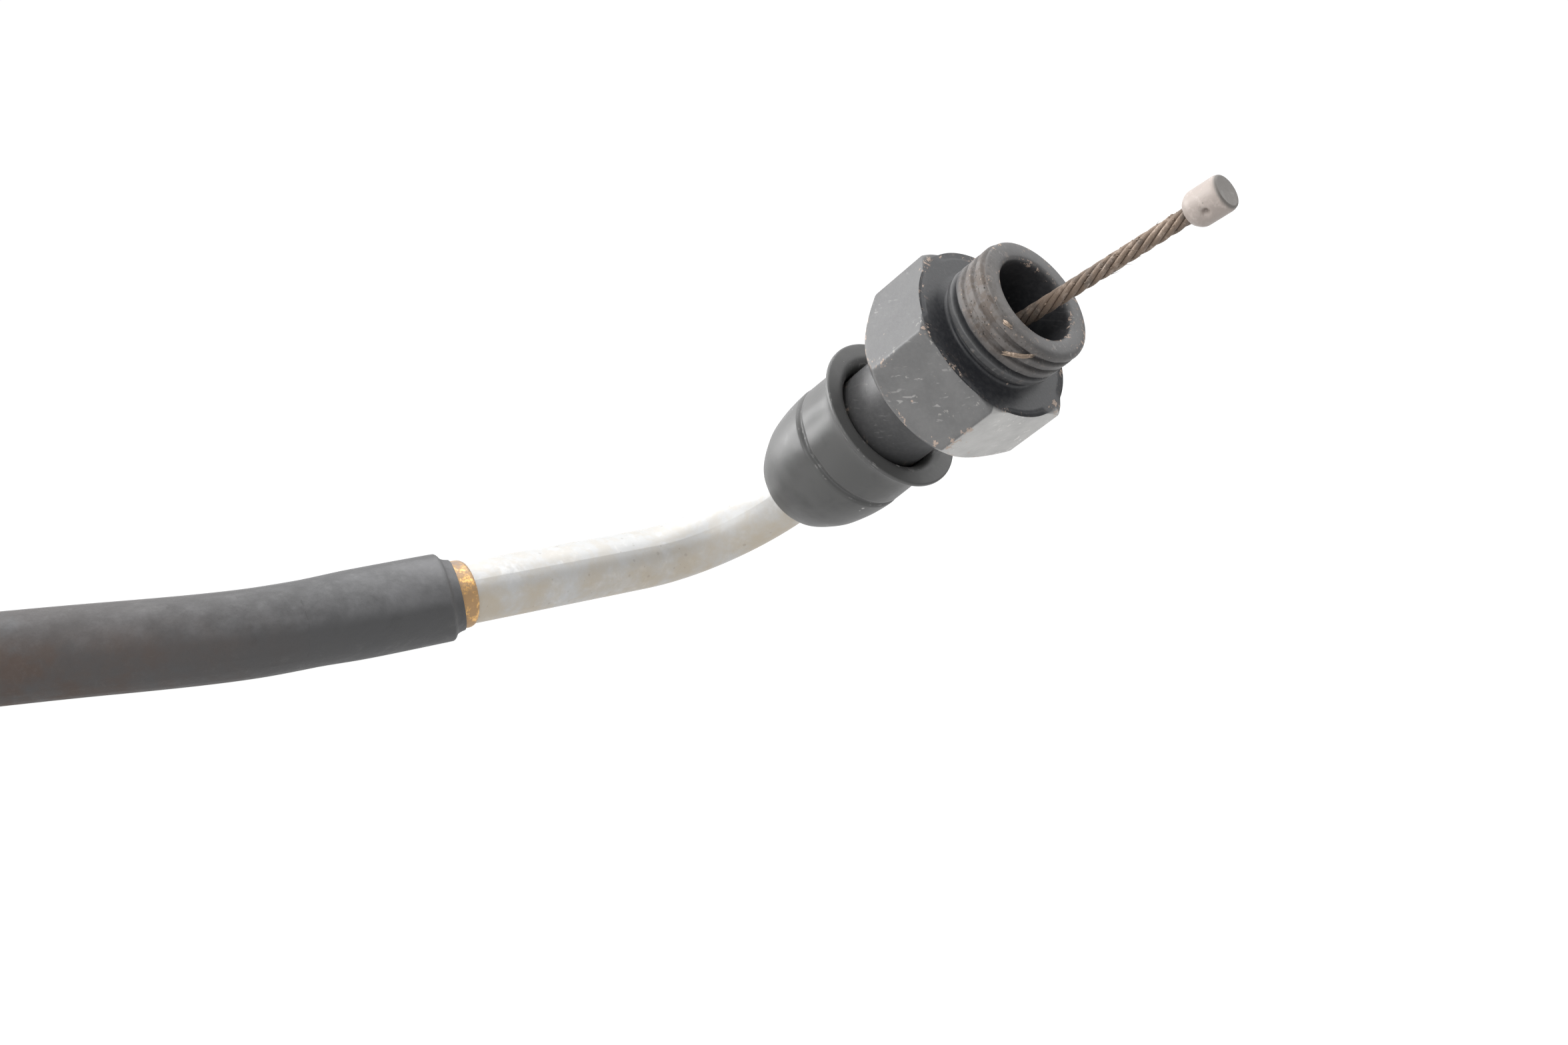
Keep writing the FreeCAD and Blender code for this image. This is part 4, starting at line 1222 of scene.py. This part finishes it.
# Soft folds in the boot's wall: angle and width in degrees, height and depth
BOOT_FOLDS = [
    (62, 7, 11.2, 0.07), (76, 6, 10.6, -0.08), (92, 8, 9.4, 0.08), (106, 9, 8.2, -0.08),
    (138, 14, 6.0, 0.06), (168, 12, 10.5, 0.05), (215, 16, 9.0, -0.06), (300, 18, 8.0, 0.06),
]


class CABLE_OT_boot(bpy.types.Operator):
    """Make the bell-shaped rubber boot"""

    bl_idname = "cable.boot"
    bl_label = "Rubber Boot"

    def execute(self, context):
        outline = smooth_line(
            [
                (2.9, 0.06), (3.25, 0.0), (3.68, 0.16), (4.12, 0.5), (4.5, 0.98), (5.07, 2.0),
                (5.76, 3.6), (6.17, 5.5), (6.36, 7.1), (6.43, 8.3),
            ]
        )
        outline += rounded(
            [
                (6.42, 8.36, 0), (6.33, 8.52, 0.12), (6.13, 8.7, 0.1), (6.13, 8.86, 0.1),
                (6.35, 9.14, 0),
            ],
            closed=False,
        )
        outline += smooth_line(
            [
                (6.38, 9.1), (6.37, 10.5), (6.35, 12.0), (6.42, 12.8), (6.62, 13.3), (6.98, 13.7),
                (7.3, 13.88),
            ]
        )
        outline += rounded(
            [
                (7.36, 13.92, 0), (7.47, 14.0, 0.1), (7.47, 14.26, 0.1), (7.36, 14.35, 0.1),
                (5.95, 14.3, 0.4), (5.4, 13.95, 0.5), (5.08, 13.3, 0.5), (4.96, 12.6, 0.3),
                (4.96, 12.2, 0.2), (5.3, 11.6, 0.2), (5.3, 6.0, 0.3), (2.9, 3.9, 0.2),
                (2.9, 2.0, 0),
            ],
            closed=False,
        )

        def uneven(r, z, angles):
            lip = np.clip((z - 11.0) / 3, 0, 1)
            for middle, spread, height, depth in BOOT_FOLDS:
                side = signed_angle(angles, middle)
                fold = np.exp(-((side / math.radians(spread)) ** 2) - ((z - height) / 2.2) ** 2)
                r = r + np.where(r > 5.9, depth * fold, 0)
            return r + waves(angles, z, 0.03, 5), z + waves(angles, z, 0.05, 11) * lip

        place = nose_frame() @ Matrix.Translation((0, 0, -0.5))
        outline = divided(outline, 0.35)
        boot = turned("rubber_boot_shell", outline, place, 180, True, uneven)
        wear(boot, "boot")
        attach(boot, "boot")
        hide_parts("rubber_boot")
        return {"FINISHED"}


def soft_min(*values):
    """Smallest of several arrays, with rounded meetings."""
    blend = 0.07
    total = sum(np.exp(-(value - values[0]) / blend) for value in values)
    return values[0] - blend * np.log(total)


# Haze on the nut's six facets, from its hexagon's first corner on: partly real haze, partly
# painted light that makes each facet lighter or darker as the light falls on it
FACET_HAZE_AND_PAINTED_LIGHT = (0.17, 0.28, 1.0, 0.3, 0.5, 0.24)

# Rubbed marks on the nut: angle in degrees, height, width, length and strength
NUT_MARKS = [
    (84.6, 27.25, 0.34, 0.4, 1.3), (87.0, 26.95, 0.24, 0.3, 1.2), (88.6, 26.0, 0.2, 0.42, 1.1),
    (82.8, 21.4, 0.34, 0.3, 1.1), (80.6, 20.9, 0.24, 0.24, 1.0), (84.8, 22.1, 0.22, 0.34, 1.0),
    (87.4, 22.7, 0.24, 0.5, 1.2), (89.0, 23.6, 0.16, 0.4, 1.0), (83.6, 24.9, 0.14, 0.3, 0.9),
    (97.4, 20.5, 0.8, 0.4, 1.9), (104.0, 20.1, 0.4, 0.2, 1.1), (113.0, 19.95, 0.8, 0.16, 1.1),
    (121.0, 19.95, 0.8, 0.2, 1.3), (131.0, 20.3, 0.9, 0.18, 1.1), (140.0, 20.9, 0.8, 0.22, 1.2),
    (146.6, 22.3, 0.5, 1.1, 1.6), (147.0, 24.4, 0.5, 1.3, 1.6), (146.4, 26.4, 0.4, 0.8, 1.4),
    (108.1, 25.15, 0.16, 0.16, 1.3), (138.4, 25.97, 0.26, 0.24, 1.8), (60.0, 27.3, 0.3, 0.2, 0.9),
    (35.0, 27.2, 0.5, 0.3, 1.0),
]
NUT_CHIPS = [
    (93.5, 27.3, 0.3, 0.2, 1.0), (98.0, 27.2, 0.4, 0.2, 1.0), (104.2, 27.2, 0.4, 0.24, 1.2),
    (110.5, 27.0, 0.34, 0.3, 1.3), (115.0, 27.3, 0.3, 0.4, 1.4), (119.5, 27.3, 0.3, 0.2, 1.0),
    (128.0, 27.3, 0.5, 0.2, 1.0), (80.0, 27.2, 0.24, 0.5, 1.1), (66.0, 27.2, 0.3, 0.24, 0.8),
    (84.0, 23.6, 0.3, 0.5, 0.9), (81.0, 22.2, 0.3, 0.5, 0.9), (132.0, 23.9, 0.5, 0.3, 0.9),
    (130.4, 23.3, 0.3, 0.3, 0.9), (123.2, 24.95, 0.3, 0.3, 0.7), (99.0, 23.0, 0.16, 0.16, 0.8),
    (112.0, 22.5, 0.3, 0.2, 0.6), (138.5, 26.9, 0.5, 0.3, 0.9),
]


class CABLE_OT_nut(bpy.types.Operator):
    """Make the hexagonal nut with its helical thread"""

    bl_idname = "cable.nut"
    bl_label = "Threaded Nut"

    def execute(self, context):
        sizes = context.scene.control_cable.nut
        self.angles = np.arange(sizes.around) * TURN / sizes.around
        self.rings, self.masks = [], {"edge": [], "haze": [], "grime": [], "chips": []}
        side = signed_angle(self.angles, 80)
        self.thread_grime = 0.15 + 0.8 * np.exp(-((side / math.radians(55)) ** 2))
        self.plain([(2.86, 12.0, 0), (3.1, 11.62, 1), (3.4, 11.6, 0), (4.2, 11.6, 0)])
        self.plain([(4.6, 11.66, 1), (4.88, 11.9, 0.6), (4.9, 14.0, 0), (4.9, 17.0, 0)], 0.05, 0.1)
        self.plain([(4.9, 19.1, 0), (4.97, 19.45, 0), (5.2, 19.6, 0), (6.4, 19.6, 0)], 0.05, 0.1)
        self.plain([(7.4, 19.6, 0.2)])
        self.hexagon(sizes.flats / MM / 2, 19.6, 27.4)
        self.plain([(8.4, 27.42, 0.7), (7.6, 27.42, 0.1), (6.4, 27.42, 0), (5.6, 27.44, 0)])
        self.plain([(5.42, 27.6, 0), (5.38, 27.8, 0)])
        self.thread(sizes.crest / MM / 2, sizes.pitch / MM, 27.9, 32.85)
        self.plain([(5.8, 32.97, 0.3), (5.6, 33.06, 0.4), (5.35, 33.1, 0.2)], 0.5, 0.14)
        self.plain([(4.9, 33.1, 0.1), (4.5, 33.08, 0.1), (4.2, 33.0, 0.4)], 0.4, 0.14)
        self.plain([(4.05, 32.8, 0.4), (4.0, 32.3, 0)], 0.3)
        self.plain([(4.0, 29.0, 0), (4.0, 25.5, 0), (3.9, 25.32, 0), (3.2, 25.3, 0)])
        self.plain([(2.9, 25.25, 0), (2.86, 25.0, 0), (2.86, 18.0, 0)])
        nut = skin("threaded_nut", self.rings, nose_frame(), True, **self.masks)
        wear(nut, "nut")
        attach(nut, "nut")
        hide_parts("thread_nut")
        fibres = self.fibres()
        wear(fibres, "fibre")
        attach(fibres, "nut")
        return {"FINISHED"}

    def add(self, radii, height, edge, haze=0.0, grime=0.0, chips=0.0):
        """One ring of the nut and its masks."""
        x, y = radii * np.cos(self.angles), radii * np.sin(self.angles)
        self.rings.append(np.stack([x, y, np.full_like(x, height)], axis=1))
        for name, value in (("edge", edge), ("haze", haze), ("grime", grime), ("chips", chips)):
            self.masks[name].append(np.broadcast_to(value, x.shape))

    def plain(self, outline, grime=0.0, haze=0.0):
        """Round rings; grime is the share of the thread's grime that they have."""
        for radius, height, edge in outline:
            ring = np.full_like(self.angles, radius)
            self.add(ring, height, edge, haze, self.thread_grime * grime)

    def hexagon(self, half_flats, low, high):
        """Hexagon with a chamfer at each face."""
        sixth = math.pi / 3
        off = (self.angles - HEX_TURN) % sixth
        from_flat = off - sixth / 2
        sides = half_flats / np.cos(from_flat)
        corner = np.exp(-(sixth / 2 - np.abs(from_flat)) * 9.0 / 0.3) * 0.4
        sides = soft_min(sides, np.full_like(sides, 9.24))
        facet = (((self.angles - HEX_TURN) % TURN) // sixth).astype(int)
        # Per-facet haze: partly real haze, partly painted light on each facet.
        haze = np.array(FACET_HAZE_AND_PAINTED_LIGHT)[facet]
        near_low = [low + 0.02 + 0.08 * step for step in range(21)]
        near_high = [high - 0.02 - 0.06 * step for step in range(12)][::-1]
        middle = [low + 1.75 + 0.14 * step for step in range(38)]
        for height in near_low + middle + near_high:
            rear = np.full_like(sides, 7.95 + (height - low) * 1.0)
            front = np.full_like(sides, 8.85 + (high - height) * 1.73)
            radii = soft_min(sides, rear, front)
            rear_rim = np.exp(-np.abs(sides - rear) / 0.2) * 0.85
            rubbed = np.exp(-np.abs(sides - front) / 0.25) * 0.36
            rim = math.exp(-(high - height) / 0.18) * 0.3
            edge = np.maximum(np.maximum(rubbed, corner), np.maximum(rear_rim, rim))
            edge = np.maximum(edge, self.marks(NUT_MARKS, height))
            self.add(radii, height, np.clip(edge, 0, 1), haze, 0.0, self.marks(NUT_CHIPS, height))

    def marks(self, places, height):
        """Strength of rubbed marks at this height, from their places on the hexagon."""
        total = np.zeros_like(self.angles)
        for angle, middle, wide, tall, strength in places:
            side = signed_angle(self.angles, angle)
            near = (side * 8.6 / wide) ** 2 + ((height - middle) / tall) ** 2
            total = np.maximum(total, strength * np.exp(-near))
        return total

    def thread(self, crest, pitch, low, high):
        """Helical thread that runs in at its root and out at a chamfer."""
        root = crest - 0.62
        steps = int((high - low) / pitch * 16)
        for step in range(steps + 1):
            height = low + (high - low) * step / steps
            phase = ((height - low) / pitch - self.angles / TURN + 0.15) % 1.0
            ridge = 1 - np.abs(2 * phase - 1)
            lift = np.clip((ridge - 0.1) / 0.42, 0, 1)
            begun = min(1.0, max(0.0, (height - low - 1.9) / 0.5))
            filled = np.clip(self.thread_grime * begun, 0, 1)
            lift = np.maximum(lift, filled * 0.68)
            radii = root + (crest - root) * lift
            run_in = root + max(0.0, height - low - 0.1) * 1.6
            run_out = crest + (high - 0.2 - height) * 0.6
            radii = soft_min(radii, np.full_like(radii, run_in + 0.08))
            radii = soft_min(radii, np.full_like(radii, run_out + 0.06))
            rubbed = np.clip((lift - 0.8) / 0.2, 0, 1) * np.clip((radii - root) / 0.4, 0, 1)
            grime = self.thread_grime * min(1.0, max(0.0, (height - low - 1.6) / 0.7))
            grime = grime * np.clip(0.35 + lift, 0, 1)
            # Painted highlight: the crests get a share of the haze colour, lighter than the
            # valleys, for the light on them.
            self.add(np.maximum(radii, 4.9), height, rubbed * 0.1, lift * 0.12, grime)

    def fibres(self):
        """Dry fibres that lie across the thread, and a few at its end."""
        chance = random.Random(4)
        strands = []
        for number in range(30):
            along = number < 22
            start = (127, 30.5) if along else (108, 32.7)
            sweep = (22, 1.75) if along else (9, 0.3)
            aside = chance.uniform(-0.16, 0.16)
            first, last = chance.uniform(0, 0.3), chance.uniform(0.7, 1.0)
            lift = chance.uniform(0.0, 0.09)
            points, radii = [], []
            for step in range(11):
                t = step / 10
                share = first + (last - first) * t
                angle = math.radians(start[0] + sweep[0] * share + aside * 6)
                rise = start[1] + sweep[1] * share - aside + 0.04 * math.sin(7 * t + number)
                radius = 5.98 + lift * math.sin(math.pi * t)
                points.append((radius * math.cos(angle), radius * math.sin(angle), rise))
                radii.append(0.045 * (0.45 + math.sin(math.pi * t)))
            strands.append(bar_along("fibre", points, radii, 5, nose_frame()))
        return joined(strands, "thread_fibres")


def metre_place(place):
    """A frame in millimetres, for a mesh that is already in metres."""
    moved = place.copy()
    moved.translation = place.translation * MM
    return moved


def rope_tree():
    """Geometry nodes: strands wound round a straight core."""
    tree = bpy.data.node_groups.new("Stranded Wire", "GeometryNodeTree")
    face = tree.interface
    face.new_socket("Geometry", in_out="INPUT", socket_type="NodeSocketGeometry")
    for label, kind, value in (
        ("Length", "NodeSocketFloat", 0.025),
        ("Wire Radius", "NodeSocketFloat", 0.00075),
        ("Lay", "NodeSocketFloat", 0.0092),
        ("Strands", "NodeSocketInt", 6),
        ("Finish", "NodeSocketMaterial", None),
    ):
        socket = face.new_socket(label, in_out="INPUT", socket_type=kind)
        if value is not None:
            socket.default_value = value
    face.new_socket("Geometry", in_out="OUTPUT", socket_type="NodeSocketGeometry")
    build = Tree(tree)
    given = build.node("NodeGroupInput").outputs
    third = build.math("DIVIDE", given["Wire Radius"], 3.0)
    arm = build.times(third, 2.0)
    spiral = build.filled("GeometryNodeCurveSpiral", resolution=48)
    build.fill(spiral, start_radius=arm, end_radius=arm)
    turns = build.math("DIVIDE", given["Length"], given["Lay"])
    build.fill(spiral, rotations=turns, height=given["Length"])
    thick = build.times(third, 1.02)
    ring = build.filled("GeometryNodeCurvePrimitiveCircle", resolution=14, radius=thick)
    bar = {"profile_curve": ring.outputs["Curve"], "fill_caps": True}
    strand = build.filled("GeometryNodeCurveToMesh", curve=spiral.outputs["Curve"], **bar)
    spots = build.filled("GeometryNodePoints", count=given["Strands"])
    index = build.node("GeometryNodeInputIndex").outputs["Index"]
    share = build.math("DIVIDE", TURN, given["Strands"])
    angle = build.times(index, share)
    turn = build.filled("FunctionNodeAxisAngleToRotation", axis=(0, 0, 1), angle=angle)
    copies = build.filled(
        "GeometryNodeInstanceOnPoints",
        points=spots.outputs[0],
        instance=strand.outputs["Mesh"],
        rotation=turn.outputs["Rotation"],
    )
    end = build.filled("ShaderNodeCombineXYZ", z=given["Length"])
    core = build.filled("GeometryNodeCurvePrimitiveLine", end=end.outputs["Vector"])
    middle = build.filled("GeometryNodeCurveToMesh", curve=core.outputs["Curve"], **bar)
    both = build.node("GeometryNodeJoinGeometry")
    build.feed(both.inputs[0], copies.outputs["Instances"])
    build.feed(both.inputs[0], middle.outputs["Mesh"])
    solid = build.filled("GeometryNodeRealizeInstances", geometry=both.outputs[0])
    coated = build.filled(
        "GeometryNodeSetMaterial", geometry=solid.outputs[0], material=given["Finish"]
    )
    result = build.node("NodeGroupOutput")
    build.feed(result.inputs[0], coated.outputs[0])
    return tree


def made_by_nodes(name, tree, values):
    """Plain mesh object made by a geometry node tree."""
    host = shown(name + " host", bpy.data.meshes.new(name))
    modifier = host.modifiers.new("nodes", "NODES")
    modifier.node_group = tree
    for item in tree.interface.items_tree:
        if item.item_type == "SOCKET" and item.in_out == "INPUT" and item.name in values:
            modifier[item.identifier] = values[item.name]
    bpy.context.view_layer.update()
    evaluated = host.evaluated_get(bpy.context.evaluated_depsgraph_get())
    mesh = bpy.data.meshes.new_from_object(evaluated)
    bpy.data.objects.remove(host)
    mesh.shade_smooth()
    return shown(name, mesh)


def stranded_wire(name, millimetres):
    """Straight stranded wire along +Z from the origin."""
    sizes = bpy.context.scene.control_cable.rope
    tree = bpy.data.node_groups.get("Stranded Wire") or rope_tree()
    values = {
        "Length": millimetres * MM,
        "Wire Radius": sizes.width / 2,
        "Lay": sizes.lay,
        "Strands": sizes.strands,
        "Finish": finish_of("rope"),
    }
    return made_by_nodes(name, tree, values)


class CABLE_OT_wire(bpy.types.Operator):
    """Make the free stranded wire with its frayed threads"""

    bl_idname = "cable.wire"
    bl_label = "Stranded Wire"

    def execute(self, context):
        place = wire_frame() @ Matrix.Translation((0, 0, -WIRE_BACK))
        whole = WIRE_BACK + NIPPLE_PLACE + WIRE_IN_NIPPLE
        rope = stranded_wire("near_wire_rope", whole)
        rope.data.transform(metre_place(place))
        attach(rope, "near_pull")
        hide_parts("near_wire")
        frays = self.frays()
        wear(frays, "rope")
        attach(frays, "near_pull")
        return {"FINISHED"}

    def frays(self):
        """Broken filaments and clots of grime, low where the tube's bush takes the wire in."""
        chance = random.Random(12)
        bits = []
        for number in range(14):
            at = chance.uniform(DRAWN_IN, 20.0)
            angle = chance.uniform(0, TURN)
            points, radii = [], []
            reach = chance.uniform(0.12, 0.5)
            for step in range(7):
                t = step / 6
                radius = 0.66 + reach * t * t
                turn = angle + 0.9 * t
                height = at + 1.3 * t
                points.append((radius * math.cos(turn), radius * math.sin(turn), height))
                radii.append(0.05 * (1.1 - t))
            bits.append(bar_along("fray", points, radii, 5, wire_frame()))
        for number in range(40):
            at = chance.uniform(6.5, 21.5)
            angle = chance.uniform(0, TURN)
            size = chance.uniform(0.05, 0.13)
            deep = 0.7 if at > DRAWN_IN else 0.62
            middle = Vector((deep * math.cos(angle), deep * math.sin(angle), at))
            points = [middle + Vector((0, 0, size * 1.6 * step)) for step in (-1, -0.6, 0, 0.6, 1)]
            radii = [size * k for k in (0.2, 0.8, 1, 0.8, 0.2)]
            bits.append(bar_along("clot", points, radii, 6, wire_frame()))
        return joined(bits, "wire_frays")


class CABLE_OT_nipple(bpy.types.Operator):
    """Make the cast nipple on the free wire"""

    bl_idname = "cable.nipple"
    bl_label = "Near Nipple"

    def execute(self, context):
        corners = [
            (0.0, 0.0, 0), (0.8, -0.05, 0.1), (1.15, 0.12, 0.2), (1.6, 0.75, 0.4),
            (1.62, 3.45, 0.25), (1.5, 3.78, 0.15), (1.36, 3.86, 0.05), (0.0, 3.8, 0),
        ]
        outline = divided(rounded(corners, closed=False, steps=5), 0.1, closed=False)

        def cast(r, z, angles):
            turn = signed_angle(angles, 287)
            far = (turn * 1.6) ** 2 + (z - 1.95) ** 2
            dimple = 0.6 * np.exp(-far / 0.1) * (r > 1.0)
            return r - dimple + waves(angles, z, 0.02, 21) * (r > 1.0), z

        def greyed(radius, height):
            return min(1.0, max(0.0, (height - 3.55) / 0.2))

        place = wire_frame() @ Matrix.Translation((0, 0, NIPPLE_PLACE))
        nipple = turned("cast_nipple", outline[1:-1], place, 96, False, cast, greyed)
        wear(nipple, "nipple")
        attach(nipple, "near_pull")
        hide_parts("near_nipple")
        return {"FINISHED"}


class CABLE_PT_panel(bpy.types.Panel):
    """Buttons and settings of the cable."""

    bl_label = "Control Cable"
    bl_idname = "CABLE_PT_panel"
    bl_space_type = "VIEW_3D"
    bl_region_type = "UI"
    bl_category = "Control Cable"

    def draw(self, context):
        for operator in OPERATORS:
            self.layout.operator(operator.bl_idname)
        for group in (settings.nut, settings.rope, settings.stage, settings.colours):
            box = self.layout.box()
            for key in group.bl_rna.properties.keys():
                if key not in ("rna_type", "name"):
                    box.prop(group, key)


OPERATORS = (
    CABLE_OT_stage,
    CABLE_OT_straps,
    CABLE_OT_far_end,
    CABLE_OT_conduit,
    CABLE_OT_sleeve,
    CABLE_OT_ferrule,
    CABLE_OT_tube,
    CABLE_OT_boot,
    CABLE_OT_nut,
    CABLE_OT_wire,
    CABLE_OT_nipple,
)
CLASSES = (
    CABLE_PG_colours,
    CABLE_PG_nut,
    CABLE_PG_rope,
    CABLE_PG_stage,
    CABLE_PG_settings,
    *OPERATORS,
    CABLE_PT_panel,
)


def register():
    for made in CLASSES:
        bpy.utils.register_class(made)
    bpy.types.Scene.control_cable = bpy.props.PointerProperty(type=CABLE_PG_settings)


def unregister():
    del bpy.types.Scene.control_cable
    for made in reversed(CLASSES):
        bpy.utils.unregister_class(made)


def main():
    register()
    bpy.ops.cable.stage()
    bpy.ops.cable.straps()
    bpy.ops.cable.far_end()
    bpy.ops.cable.conduit()
    bpy.ops.cable.sleeve()
    bpy.ops.cable.ferrule()
    bpy.ops.cable.tube()
    bpy.ops.cable.boot()
    bpy.ops.cable.nut()
    bpy.ops.cable.wire()
    bpy.ops.cable.nipple()


if __name__ == "__main__":
    main()
